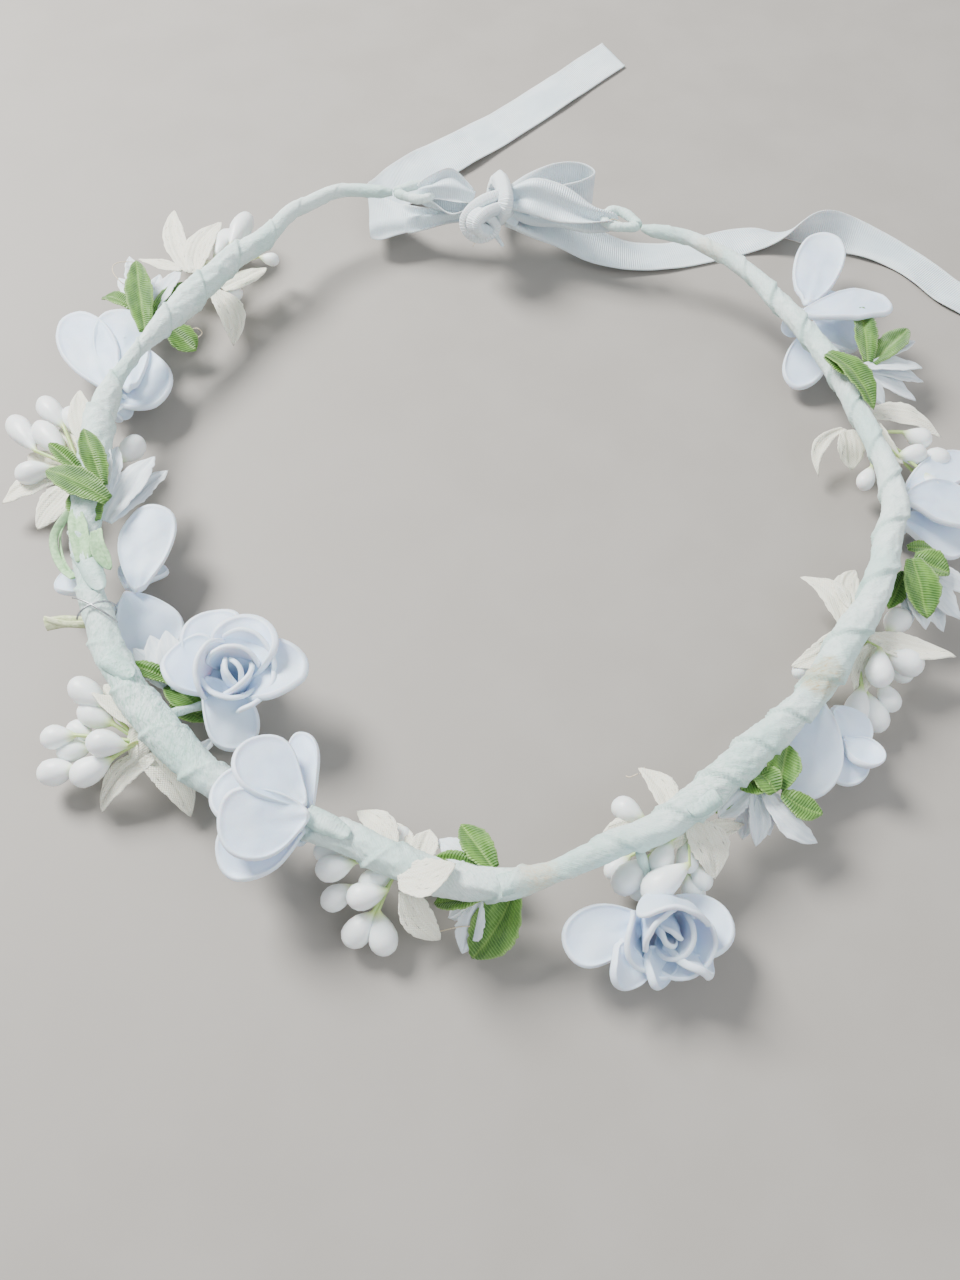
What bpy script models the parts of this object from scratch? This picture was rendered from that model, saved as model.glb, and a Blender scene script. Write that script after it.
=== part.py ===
"""Flower crown: a taped wire hoop carrying foam roses, linen stars with buds and satin-leaved
blossoms, tied at the back with a satin ribbon. It lies face down on a table, the way a crown is
put away: the flowers touch the table and the hoop stands above them.

Metres, +Z up. The origin is the middle of the head opening, in the table plane, and -Y is the
front of the crown. Stations are millimetres along the wire from the front middle: positive runs
round the +X side to the right eyelet, negative round the -X side to the left eyelet.
"""
import math

import bmesh
import bpy
from mathutils import Matrix, Vector

MM = 0.001

# ---- driving sizes ------------------------------------------------------------------------
HEAD_WIDTH = 0.180           # middle of the wire to middle of the wire, side to side
HEAD_DEPTH = 0.1916          # the same, front to back
RING_HEIGHT = 0.016          # middle of the wire above the table
CLEARANCE = 0.0003           # between pieces that touch on the real crown

CORE_RADIUS = 0.0009         # bare steel wire
TAPE_SCALE = 1.0             # how thickly the paper tape is wound, on the profile below
BORE_OVERRUN = 4.0           # how far the bore's cutter runs past the tape's ends, in millimetres
LEFT_END = -271.0            # stations where the tape stops, in millimetres
RIGHT_END = 241.0
HOOP_STEPS = 58              # straight steps along the hoop
LINE_FROM, LINE_TO = -170, 160   # degrees round from the front that the bent line covers
LINE_STEPS = 2               # points on the bent line for each degree

EYELET_RADIUS = 0.0046       # middle of the bent wire end
EYELET_WIRE = 0.0011         # radius of the taped wire in the eyelet

RIBBON_WIDTH = 0.0105
RIBBON_THICK = 0.0004

ROSE_PETAL = (0.0172, 0.0155, 0.0022)      # length, width, thickness of a foam petal
ROSE_HEART = (0.0095, 0.0046)              # height and radius of the rolled heart
STAR_PETAL = (0.0150, 0.0056, 0.0010)      # linen petal
BLOSSOM_PETAL = (0.0130, 0.0044, 0.0011)   # narrow cotton petal
CALYX_LEAF = (0.0140, 0.0066, 0.0012)      # green satin leaf
BUD = (0.0088, 0.0025)                     # length and radius of a bud
BUD_STALK = (0.0070, 0.0005)               # length and radius of its stalk
HUB_RADIUS = 0.0013                        # bound stem under each flower
BUD_HUB_RADIUS = 0.0011
PETAL_ROOM = 0.94                          # share of the way to the next petal that one fills
WIDEST_SECTOR = 60                         # degrees either side of a petal that it may fill
PETAL_FOOT = 0.45                          # half width at the base, as a share of the hub's radius
PETAL_BEND = 0.25                          # how far the tip curls over, for a cup of 1
STEM_RADIUS = 0.0009
STEM_SAG = 0.0010
TABLE_CLEAR = 0.0001                       # what touches the table stands this far above it

BINDING_STATION = -104                     # thin wire twisted round the tape here
BINDING_RADIUS = 0.0004

# outlines of a petal from base to tip: share of the length, share of the width
ROUND_PETAL = ((0.28, 0.52), (0.55, 0.92), (0.80, 0.96), (0.95, 0.55), (1.0, 0.0))
POINTED_PETAL = ((0.38, 0.90), (0.70, 0.80), (1.0, 0.0))
# how far each kind of petal is hollowed across and curled along
ROSE_CUP, STAR_CUP, CALYX_CUP, BLOSSOM_CUP = 0.22, 0.15, 0.20, 0.10
# half sections, foot to top: share of the radius, share of the height
HEART_PROFILE = ((0, 0), (0.2, 0), (0.7, 0.5), (1.0, 0.8), (0.6, 1.0), (0, 1.0))
HEART_SIDES = 8
BUD_PROFILE = ((1.0, 0.5), (0.7, 0.9), (0, 1.0))
BUD_SIDES = 5
STALK_FLARE = 1.3                          # radius at the top of a stalk, as a share of its foot

# ---- how the wire was bent and wound by hand ----------------------------------------------
# degrees round from the front, millimetres outside the plain oval
HAND_BENDS = (
    (-166, 2.3), (-155, 8.5), (-149, 7.5), (-140, 2.5), (-122, 0.5), (-105, 2.2), (-88, -0.8),
    (-62, -1.0), (-40, -1.6), (-20, -4.3), (0, 0.0), (18, -4.3), (39, -7.5), (56, -6.2),
    (75, -2.2), (85, 0.4), (102, -2.2), (120, -2.0), (135, 0.0), (142, -0.5), (152, -4.0),
)
# station, radius of the wound tape in millimetres
TAPE_BUILD = (
    (-271, 1.7), (-240, 1.9), (-222, 3.0), (-200, 3.6), (-172, 3.4), (-150, 3.7), (-132, 3.3),
    (-112, 3.0), (-95, 3.8), (-68, 4.0), (-50, 3.2), (-34, 2.9), (-18, 3.4), (2, 3.2), (12, 2.1),
    (28, 2.8), (44, 3.6), (58, 3.8), (72, 3.2), (86, 3.6), (104, 3.2), (122, 3.0), (150, 2.9),
    (176, 3.3), (196, 3.1), (212, 2.3), (228, 1.9), (241, 1.7),
)

# ---- flowers ------------------------------------------------------------------------------
# where a flower stands: station, side (degrees round the wire, 0 outward, -90 down, 90 on top),
# reach beyond the tape in mm, heading (degrees from outward towards the next station), rise
# (degrees above level). Then its share of full size, and for a rose its petals, each (degrees
# round the flower from its upper side, lean from its axis), for the others the first petal.
ROSES = {
    "rose_1": ((-173, -78, 0.8, -62, -56), 1.0, ((-75, 64), (0, 66), (70, 60), (160, 48))),
    "rose_2": ((-111, -104, 0.6, 165, -68), 0.95, ((-115, 50), (-35, 60), (60, 66), (150, 58))),
    "rose_4": ((-37, 92, 2.0, -96, 4), 0.92, ((-108, 50), (-38, 48), (38, 48), (108, 50))),
    "rose_6": ((82.5, -55, 0.5, -30, -40), 0.95, ((-85, 40), (0, 52), (85, 46), (178, 44))),
    "rose_7": ((137, -50, 0.5, -6, -42), 0.9, ((-85, 42), (0, 54), (85, 42), (180, 46))),
    "rose_8": ((196, -75, 0.5, 5, -74), 1.0, ((-120, 70), (-30, 72), (60, 72), (150, 66))),
}
STEMMED_ROSES = {
    "rose_3": ((-75, -156, 12.8, 140, 74), 0.95, ((-100, 54), (-15, 54), (75, 54), (165, 54))),
    "rose_5": ((29, -30, 10.5, -15, 34), 1.0, ((-105, 56), (-20, 54), (65, 56), (160, 55))),
}
STARS = {
    "star_1": ((-222, -42, 1.5, -6, -40), 0.95, 15),
    "star_2": ((-152, -40, 0.4, 4, -42), 0.95, 32),
    "star_3": ((-82, -45, 0.6, 0, -42), 0.95, 15),
    "star_4": ((-20, -60, 0.4, 8, -44), 0.9, 30),
    "star_5": ((42.6, -80, 0.4, -2, -54), 0.78, -4),
    "star_6": ((101.2, -60, 0.4, 2, -48), 0.80, -4),
    "star_7": ((157, -50, 0.4, 4, -42), 0.88, 12),
}
BLOSSOMS = {
    "blossom_1": ((-197.5, -60, 0.8, -4, -26), 0.85, 0),
    "blossom_2": ((-132, 118, 0.8, -158, -30), 0.85, 20),
    "blossom_3": ((-90, -150, 0.8, 160, -28), 0.56, 10),
    "blossom_4": ((7, -85, 0.6, 8, -32), 0.9, 0),
    "blossom_5": ((62.7, -46, 0.8, -3, -24), 0.66, 15),
    "blossom_6": ((120.5, -46, 0.8, 2, -24), 0.64, 0),
    "blossom_7": ((177.5, -40, 0.8, 18, -12), 0.82, 20),
}
STAR_PETALS = 5
STAR_LEAN = 82.0
BLOSSOM_PETALS = 6
BLOSSOM_LEAN = 36.0
CALYX_PETALS = ((-66, 60), (0, 60), (66, 60))
# each bud of a bunch: degrees sideways and up from the way the bunch points
BUD_FAN = ((-48, 4), (-29, -9), (-10, 9), (9, -10), (28, 8), (46, -4))
BUD_DROP = -10.0             # rise of a bunch above level

# ---- colours (linear), roughness, metallic -------------------------------------------------
FINISHES = {
    "wire": ((0.30, 0.30, 0.31), 0.35, 1.0),
    "tape": ((0.66, 0.78, 0.73), 0.85, 0.0),
    "satin": ((0.74, 0.80, 0.84), 0.35, 0.0),
    "foam": ((0.72, 0.79, 0.90), 0.60, 0.0),
    "linen": ((0.84, 0.83, 0.75), 0.90, 0.0),
    "cotton": ((0.80, 0.86, 0.88), 0.85, 0.0),
    "bud": ((0.87, 0.90, 0.88), 0.50, 0.0),
    "leaf": ((0.27, 0.44, 0.16), 0.50, 0.0),
}


# ---- scene --------------------------------------------------------------------------------
for old in list(bpy.data.objects):
    bpy.data.objects.remove(old)
crown = bpy.data.collections.new("flower_crown")
cutters = bpy.data.collections.new("cutters")
for collection in (crown, cutters):
    bpy.context.scene.collection.children.link(collection)


def finish(name):
    """The shared material of one finish."""
    if name in bpy.data.materials:
        return bpy.data.materials[name]
    colour, roughness, metallic = FINISHES[name]
    material = bpy.data.materials.new(name)
    material.use_nodes = True
    shader = material.node_tree.nodes["Principled BSDF"]
    shader.inputs["Base Color"].default_value = (*colour, 1)
    shader.inputs["Roughness"].default_value = roughness
    shader.inputs["Metallic"].default_value = metallic
    return material


def add(name, data, finish_name, collection=crown):
    """Link a new object; one in the cutters collection is only a guide."""
    piece = bpy.data.objects.new(name, data)
    collection.objects.link(piece)
    if finish_name:
        data.materials.append(finish(finish_name))
    if collection is cutters:
        piece.hide_render = True
        piece.display_type = "WIRE"
    return piece


def add_mesh(name, bm, finish_name, collection=crown):
    """Turn a bmesh into an object."""
    bmesh.ops.recalc_face_normals(bm, faces=bm.faces)
    mesh = bpy.data.meshes.new(name)
    bm.to_mesh(mesh)
    bm.free()
    mesh.shade_smooth()
    return add(name, mesh, finish_name, collection)


# ---- the hoop's line ----------------------------------------------------------------------
def eased(table, where):
    """Read a (place, value) table with smooth steps between its entries."""
    if where <= table[0][0]:
        return table[0][1]
    for (start, low), (end, high) in zip(table, table[1:]):
        if where <= end:
            share = 0.5 - 0.5 * math.cos(math.pi * (where - start) / (end - start))
            return low + (high - low) * share
    return table[-1][1]


def hoop_line():
    """Stations and points, closely spaced, round the whole wire."""
    line = []
    mean_radius = (HEAD_WIDTH + HEAD_DEPTH) / 4
    for step in range(LINE_FROM * LINE_STEPS, LINE_TO * LINE_STEPS + 1):
        degrees = step / LINE_STEPS
        angle = math.radians(degrees)
        swell = 1 + eased(HAND_BENDS, degrees) * MM / mean_radius
        line.append(Vector((HEAD_WIDTH / 2 * swell * math.sin(angle),
                            -HEAD_DEPTH / 2 * swell * math.cos(angle), RING_HEIGHT)))
    front = -LINE_FROM * LINE_STEPS
    stations = [0.0] * len(line)
    for i in range(front + 1, len(line)):
        stations[i] = stations[i - 1] + (line[i] - line[i - 1]).length / MM
    for i in range(front - 1, -1, -1):
        stations[i] = stations[i + 1] - (line[i + 1] - line[i]).length / MM
    return stations, line


STATIONS, LINE = hoop_line()


def hoop_at(station):
    """Point on the wire's middle, direction along it, and direction outward."""
    i = 1
    while i < len(STATIONS) - 2 and STATIONS[i] < station:
        i += 1
    share = (station - STATIONS[i - 1]) / (STATIONS[i] - STATIONS[i - 1])
    point = LINE[i - 1].lerp(LINE[i], share)
    along = (LINE[i] - LINE[i - 1]).normalized()
    return point, along, Vector((along.y, -along.x, 0))


def tape_radius(station):
    return eased(TAPE_BUILD, station) * MM * TAPE_SCALE


# ---- tubes --------------------------------------------------------------------------------
def tube(name, points, radii, finish_name, collection=crown, resolution=1):
    """A solid tube through the points, with its caps welded on."""
    curve = bpy.data.curves.new(name, "CURVE")
    curve.dimensions = "3D"
    curve.bevel_depth = 1.0
    curve.bevel_resolution = resolution
    curve.use_fill_caps = True
    spline = curve.splines.new("POLY")
    spline.points.add(len(points) - 1)
    for knot, point, radius in zip(spline.points, points, radii):
        knot.co = (*point, 1)
        knot.radius = radius
    guide = bpy.data.objects.new(name + "_line", curve)
    crown.objects.link(guide)
    bpy.context.view_layer.update()
    evaluated = guide.evaluated_get(bpy.context.evaluated_depsgraph_get())
    mesh = bpy.data.meshes.new_from_object(evaluated)
    bpy.data.objects.remove(guide)
    bm = bmesh.new()
    bm.from_mesh(mesh)
    bmesh.ops.remove_doubles(bm, verts=bm.verts, dist=1e-6)
    bpy.data.meshes.remove(mesh)
    return add_mesh(name, bm, finish_name, collection)


def build_hoop():
    """The steel wire and the paper tape wound over it, thicker where stems are bound in."""
    steps = [LEFT_END + (RIGHT_END - LEFT_END) * i / HOOP_STEPS for i in range(HOOP_STEPS + 1)]
    middle = [hoop_at(station)[0] for station in steps]
    tube("core_wire", middle, [CORE_RADIUS] * len(middle), "wire")

    tape = tube("hoop_tape", middle, [tape_radius(station) for station in steps], "tape")
    bore_ends = [LEFT_END - BORE_OVERRUN, *steps, RIGHT_END + BORE_OVERRUN]
    bore = tube("tape_bore", [hoop_at(station)[0] for station in bore_ends],
                [CORE_RADIUS + CLEARANCE] * len(bore_ends), None, cutters)
    hollow = tape.modifiers.new("bore", "BOOLEAN")
    hollow.operation = "DIFFERENCE"
    hollow.object = bore
    hollow.solver = "EXACT"


def ring_of(name, centre, axis, radius, wire, finish_name):
    """A closed ring of wire about an axis."""
    bpy.ops.mesh.primitive_torus_add(
        major_radius=radius, minor_radius=wire, major_segments=14, minor_segments=6)
    ring = bpy.context.object
    ring.name = name
    ring.data.name = name
    ring.matrix_world = Matrix.Translation(centre) @ axis.to_track_quat("Z", "Y").to_matrix().to_4x4()
    for collection in ring.users_collection:
        collection.objects.unlink(ring)
    crown.objects.link(ring)
    ring.data.materials.append(finish(finish_name))
    ring.data.shade_smooth()


def build_eyelet(name, end_station, sign):
    """The wire's taped end bent into a level ring that the ribbon drops through."""
    point, along, _ = hoop_at(end_station)
    centre = point + along * sign * (EYELET_RADIUS + EYELET_WIRE + CLEARANCE)
    ring_of(name, centre, Vector((0, 0, 1)), EYELET_RADIUS, EYELET_WIRE, "tape")


def build_binding():
    point, along, _ = hoop_at(BINDING_STATION)
    radius = tape_radius(BINDING_STATION) + CLEARANCE + BINDING_RADIUS
    ring_of("binding_wire", point, along, radius, BINDING_RADIUS, "wire")


# ---- petals, buds and hearts --------------------------------------------------------------
def flower_frame(station, side, reach, heading, rise):
    """Matrix of a flower: its origin is the bound stem, its +Z is the way it opens, and +Y is
    its upper side."""
    point, along, outward = hoop_at(station)
    offset = tape_radius(station) + CLEARANCE + HUB_RADIUS + reach * MM
    side, heading, rise = (math.radians(angle) for angle in (side, heading, rise))
    base = point + outward * offset * math.cos(side) + Vector((0, 0, offset * math.sin(side)))
    level = outward * math.cos(heading) + along * math.sin(heading)
    axis = level * math.cos(rise) + Vector((0, 0, math.sin(rise)))
    across = Vector((0, 0, 1)).cross(axis).normalized()
    turn = Matrix((across, axis.cross(across), axis)).transposed().to_4x4()
    return Matrix.Translation(base) @ turn


def petal_ring(name, frame, size, petals, finish_name, rows, cup):
    """A ring of petals on one small floor. A petal stops short of its neighbours, and one that
    reaches the table lies on it."""
    length, width, thick = size
    bm = bmesh.new()
    floor = []
    for i, (azimuth, lean) in enumerate(petals):
        turn = frame @ Matrix.Rotation(math.radians(-azimuth), 4, "Z")
        lean = math.radians(lean)
        sector = min((azimuth - petals[i - 1][0]) % 360,
                     (petals[(i + 1) % len(petals)][0] - azimuth) % 360)
        room = math.tan(math.radians(min(sector / 2, WIDEST_SECTOR))) * PETAL_ROOM
        before = []
        for share, spread in ((0.0, None), *rows):
            reach = share * length
            half = HUB_RADIUS * PETAL_FOOT if spread is None else spread * width / 2
            half = min(half, (HUB_RADIUS + reach * math.sin(lean)) * room)
            row = []
            for side in (-1, 0, 1) if half else (0,):
                hollow = cup * (abs(side) * half - share * share * length * PETAL_BEND)
                out = HUB_RADIUS + reach * math.sin(lean) - hollow * math.cos(lean)
                up = reach * math.cos(lean) + hollow * math.sin(lean)
                point = turn @ Vector((side * half, out, up))
                point.z = max(point.z, thick / 2)
                row.append(bm.verts.new(point))
            if not before:
                floor.extend(row)
            elif len(row) == 1:
                bm.faces.new((before[0], before[1], row[0]))
                bm.faces.new((before[1], before[2], row[0]))
            else:
                bm.faces.new((before[0], before[1], row[1], row[0]))
                bm.faces.new((before[1], before[2], row[2], row[1]))
            before = row
    bm.faces.new(floor)
    ring = add_mesh(name, bm, finish_name)
    cloth = ring.modifiers.new("thickness", "SOLIDIFY")
    cloth.thickness = thick
    cloth.offset = 0
    return ring


def sized(size, share):
    """A petal of a smaller or larger flower: its length and width scale, its cloth doesn't."""
    length, width, thick = size
    return length * share, width * share, thick


def even_petals(count, first, lean):
    return [(first + 360 * i / count, lean) for i in range(count)]


def turned(bm, frame, profile, sides):
    """A closed turned shape; profile is (radius, height), its ends on the axis."""
    rows = []
    for radius, height in profile:
        around = range(sides) if radius else range(1)
        row = []
        for i in around:
            angle = 2 * math.pi * i / sides
            point = frame @ Vector((radius * math.cos(angle), radius * math.sin(angle), height))
            point.z = max(point.z, TABLE_CLEAR)
            row.append(bm.verts.new(point))
        rows.append(row)
    for low, high in zip(rows, rows[1:]):
        for i in range(sides):
            j = (i + 1) % sides
            ring = [low[i % len(low)], low[j % len(low)], high[j % len(high)], high[i % len(high)]]
            bm.faces.new(list(dict.fromkeys(ring)))


def build_rose(name, place, share, petals):
    """Foam rose: a ring of round petals around a rolled heart."""
    frame = flower_frame(*place)
    petal_ring(name + "_petals", frame, sized(ROSE_PETAL, share), petals, "foam", ROUND_PETAL,
               ROSE_CUP)
    height, radius = (size * share for size in ROSE_HEART)
    seat = ROSE_PETAL[2] / 2 + CLEARANCE
    profile = [(wide * radius, max(tall * height, seat)) for wide, tall in HEART_PROFILE]
    heart = bmesh.new()
    turned(heart, frame, profile, HEART_SIDES)
    add_mesh(name + "_heart", heart, "foam")
    return frame


def build_stem(name, place, frame):
    """The bare stem wire between the tape and a rose that stands clear of the hoop."""
    station, side = place[:2]
    point, _, outward = hoop_at(station)
    side = math.radians(side)
    leave = outward * math.cos(side) + Vector((0, 0, math.sin(side)))
    start = point + leave * (tape_radius(station) + CLEARANCE + STEM_RADIUS)
    end = frame @ Vector((0, 0, -ROSE_PETAL[2] / 2 - CLEARANCE - STEM_RADIUS))
    sag = Vector((0, 0, -STEM_SAG))
    tube(name, [start, start.lerp(end, 0.5) + sag, end], [STEM_RADIUS] * 3, "tape")


def build_star(name, place, share, first):
    """Linen star of five petals with a fan of stalked buds standing out of it."""
    frame = flower_frame(*place)
    petal_ring(name + "_petals", frame, sized(STAR_PETAL, share),
               even_petals(STAR_PETALS, first, STAR_LEAN), "linen", POINTED_PETAL,
               STAR_CUP)
    length, radius = BUD
    stalk, stalk_radius = BUD_STALK
    profile = [(0, 0), (stalk_radius, 0), (stalk_radius * STALK_FLARE, stalk)]
    profile += [(wide * radius, stalk + tall * length) for wide, tall in BUD_PROFILE]
    seat = frame @ Vector((0, 0, STAR_PETAL[2] / 2 + CLEARANCE + BUD_HUB_RADIUS))
    station, side, reach, heading, _ = place
    bunch_frame = flower_frame(station, side, reach, heading, BUD_DROP)
    bunch_frame.translation = seat
    bm = bmesh.new()
    for sideways, up in BUD_FAN:
        turn = (Matrix.Rotation(math.radians(sideways), 4, "Y")
                @ Matrix.Rotation(math.radians(-up), 4, "X"))
        turned(bm, bunch_frame @ turn, profile, BUD_SIDES)
    bunch = add_mesh(name + "_buds", bm, "bud")
    middle = bmesh.new()
    bmesh.ops.create_uvsphere(middle, u_segments=6, v_segments=4, radius=BUD_HUB_RADIUS,
                              matrix=bunch_frame)
    join = bunch.modifiers.new("join", "BOOLEAN")
    join.operation = "UNION"
    join.object = add_mesh(name + "_bud_hub", middle, None, cutters)
    join.solver = "EXACT"
    join.use_self = True


def build_blossom(name, place, share, first):
    """Cotton blossom of narrow petals in a calyx of green satin leaves."""
    frame = flower_frame(*place)
    petal_ring(name + "_calyx", frame, sized(CALYX_LEAF, share), CALYX_PETALS, "leaf", POINTED_PETAL,
               CALYX_CUP)
    lifted = frame @ Matrix.Translation(
        (0, 0, CALYX_LEAF[2] / 2 + BLOSSOM_PETAL[2] / 2 + CLEARANCE * 2))
    petal_ring(name + "_petals", lifted, sized(BLOSSOM_PETAL, share),
               even_petals(BLOSSOM_PETALS, first, BLOSSOM_LEAN), "cotton", POINTED_PETAL,
               BLOSSOM_CUP)


# ---- ribbon -------------------------------------------------------------------------------
def smooth_route(points, steps):
    """Catmull-Rom through hand-set rows of equal length; steps between neighbouring rows."""
    size = len(points[0])
    padded = [points[0], *points, points[-1]]
    out = []
    for i in range(len(points) - 1):
        before, here, there, after = padded[i:i + 4]
        for k in range(steps):
            t = k / steps
            out.append([0.5 * (2 * here[n] + (there[n] - before[n]) * t
                               + (2 * before[n] - 5 * here[n] + 4 * there[n] - after[n]) * t * t
                               + (3 * here[n] - before[n] - 3 * there[n] + after[n]) * t ** 3)
                        for n in range(size)])
    out.append(list(points[-1]))
    return out


def ribbon(name, route, steps=3):
    """A satin strip, never below the table. Each route row is x, y, z in mm, then which way the
    ribbon's width lies: its heading in degrees from +X and its rise, and the share of the width
    spread there."""
    rows = smooth_route(route, steps)
    middles = [Vector(row[:3]) * MM for row in rows]
    bm = bmesh.new()
    edges = []
    for i, (middle, row) in enumerate(zip(middles, rows)):
        ahead = (middles[min(i + 1, len(rows) - 1)] - middles[max(i - 1, 0)]).normalized()
        heading, rise = math.radians(row[3]), math.radians(row[4])
        width = Vector((math.cos(heading) * math.cos(rise), math.sin(heading) * math.cos(rise),
                        math.sin(rise)))
        width = (width - ahead * width.dot(ahead)).normalized()
        half = width * RIBBON_WIDTH / 2 * row[5]
        edge = [middle - half, middle + half]
        for point in edge:
            point.z = max(point.z, RIBBON_THICK / 2)
        edges.append([bm.verts.new(point) for point in edge])
    for (a, b), (c, d) in zip(edges, edges[1:]):
        bm.faces.new((a, b, d, c))
    strip = add_mesh(name, bm, "satin")
    cloth = strip.modifiers.new("thickness", "SOLIDIFY")
    cloth.thickness = RIBBON_THICK
    cloth.offset = 0
    return strip


# x, y, z in mm, heading and rise of the width in degrees, share of the width
TAIL_LEFT_ROOT = (
    (-3.9, 90.0, 10.6, 95, 25, 0.40), (-12, 89.2, 8.8, 92, 20, 0.75), (-22, 90.8, 7.2, 84, 8, 1.0),
    (-29.5, 94.0, 6.2, 88, 4, 1.0), (-32.6, 96.8, 4.9, 112, 27, 1.0), (-30.0, 99.8, 3.6, 136, 4, 1.0),
    (-25.5, 105.0, 2.7, 139, 0, 1.0), (-20, 111.5, 2.0, 139, 0, 1.0),
)
TAIL_LEFT = (
    (-19.7, 111.9, 2.0, 139, 0, 1.0), (-12, 122, 1.0, 137, 0, 1.0), (-2, 136, 0.35, 133, 0, 1.0),
    (10, 149.5, 0.2, 133, 0, 1.0), (25, 166, 0.2, 136, 0, 1.0), (41, 182.5, 0.2, 137, 0, 1.0),
)
TAIL_RIGHT_ROOT = (
    (5.2, 88.8, 10.4, 80, 20, 0.45), (13, 86.6, 8.6, 78, 30, 0.8), (22, 84.2, 6.6, 76, 25, 1.0),
    (32, 81.2, 3.4, 78, 10, 1.0), (43, 80.6, 0.6, 93, 0, 1.0), (55, 83.6, 0.2, 106, 0, 1.0),
    (66, 87.6, 0.2, 110, 0, 1.0),
)
TAIL_RIGHT = (
    (66.5, 87.8, 0.2, 110, 0, 1.0), (74, 90.8, 1.5, 110, -14, 1.0), (83, 94, 5.0, 108, -62, 1.0),
    (93, 96, 5.2, 92, -110, 1.0), (105, 93, 2.4, 66, -160, 1.0), (117, 84, 0.3, 48, -180, 1.0),
    (134, 64, 0.2, 40, -180, 1.0), (149, 45, 0.2, 38, -180, 1.0),
)
LEFT_LOOP = (
    (-3.6, 93.6, 16.4, 90, 0, 0.40), (-9, 95.6, 19.0, 90, 20, 0.75), (-14.5, 95.6, 18.6, 90, 0, 0.50),
    (-18.2, 95.0, 16.0, 90, 0, 0.40), (-14.5, 94.6, 13.4, 90, 0, 0.45), (-9, 93.4, 13.2, 90, 0, 0.50),
    (-3.6, 92.4, 13.8, 90, 0, 0.35),
)
RIGHT_LOOP = (
    (5.6, 91.4, 16.6, 84, 0, 0.40), (14, 89.6, 19.4, 80, -12, 0.75), (24, 87.0, 19.4, 76, -8, 0.75),
    (30.8, 84.9, 18.4, 75, 0, 0.50), (34.4, 83.9, 16.0, 75, 0, 0.40), (30.8, 84.7, 13.6, 75, 0, 0.50),
    (24, 86.6, 13.2, 76, 0, 0.60), (14, 89.4, 13.2, 80, 0, 0.60), (5.6, 91.2, 14.0, 84, 0, 0.40),
)
BOW_LOOP = (
    (4.4, 95.0, 15.4, 90, 78, 0.45), (11, 99.2, 14.6, 90, 78, 0.85), (20, 103.4, 13.6, 90, 78, 1.0),
    (27.5, 104.2, 13.0, 90, 78, 1.0), (31, 100.8, 12.8, 90, 78, 1.0), (27.5, 97.4, 13.0, 90, 78, 1.0),
    (19, 96.6, 13.2, 90, 78, 0.85), (11, 96.0, 13.6, 90, 78, 0.6), (5.2, 93.6, 14.0, 90, 78, 0.40),
)
KNOT_PLACE = Vector((0.9, 92.2, 14.2)) * MM
KNOT_SIZE = (0.0038, 0.0048, 0.0042)
KNOT_TURNS, KNOT_TWIST, KNOT_RIDGE = 3, 2.5, 0.08   # turns of ribbon, their slant and height


def build_knot():
    """The tight overhand knot, its turns raised as ridges."""
    bm = bmesh.new()
    bmesh.ops.create_uvsphere(bm, u_segments=12, v_segments=8, radius=1.0)
    for vert in bm.verts:
        round_angle = math.atan2(vert.co.y, vert.co.x)
        ridge = 1 + KNOT_RIDGE * math.cos(KNOT_TURNS * round_angle + KNOT_TWIST * vert.co.z)
        vert.co = KNOT_PLACE + Vector([c * ridge * size for c, size in zip(vert.co, KNOT_SIZE)])
    add_mesh("ribbon_knot", bm, "satin")


def build_ribbon():
    """One ribbon, cut at the knot and where each tail starts to swing."""
    build_knot()
    ribbon("ribbon_left_loop", LEFT_LOOP)
    ribbon("ribbon_right_loop", RIGHT_LOOP)
    ribbon("ribbon_bow_loop", BOW_LOOP)
    ribbon("ribbon_tail_left_root", TAIL_LEFT_ROOT)
    ribbon("ribbon_tail_left", TAIL_LEFT)
    ribbon("ribbon_tail_right_root", TAIL_RIGHT_ROOT)
    ribbon("ribbon_tail_right", TAIL_RIGHT)


build_hoop()
build_eyelet("eyelet_left", LEFT_END, -1)
build_eyelet("eyelet_right", RIGHT_END, 1)
build_binding()
for rose, row in ROSES.items():
    build_rose(rose, *row)
for rose, row in STEMMED_ROSES.items():
    build_stem(rose + "_stem", row[0], build_rose(rose, *row))
for star, row in STARS.items():
    build_star(star, *row)
for blossom, row in BLOSSOMS.items():
    build_blossom(blossom, *row)
build_ribbon()
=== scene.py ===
"""Flower crown, dressed: crepe-taped hoop, foam roses, linen stars with buds, cotton blossoms in
satin leaves, and the satin ribbon with its knot. Metres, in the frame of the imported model."""
import math

import bmesh
import bpy
from mathutils import Matrix, Vector, noise


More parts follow.
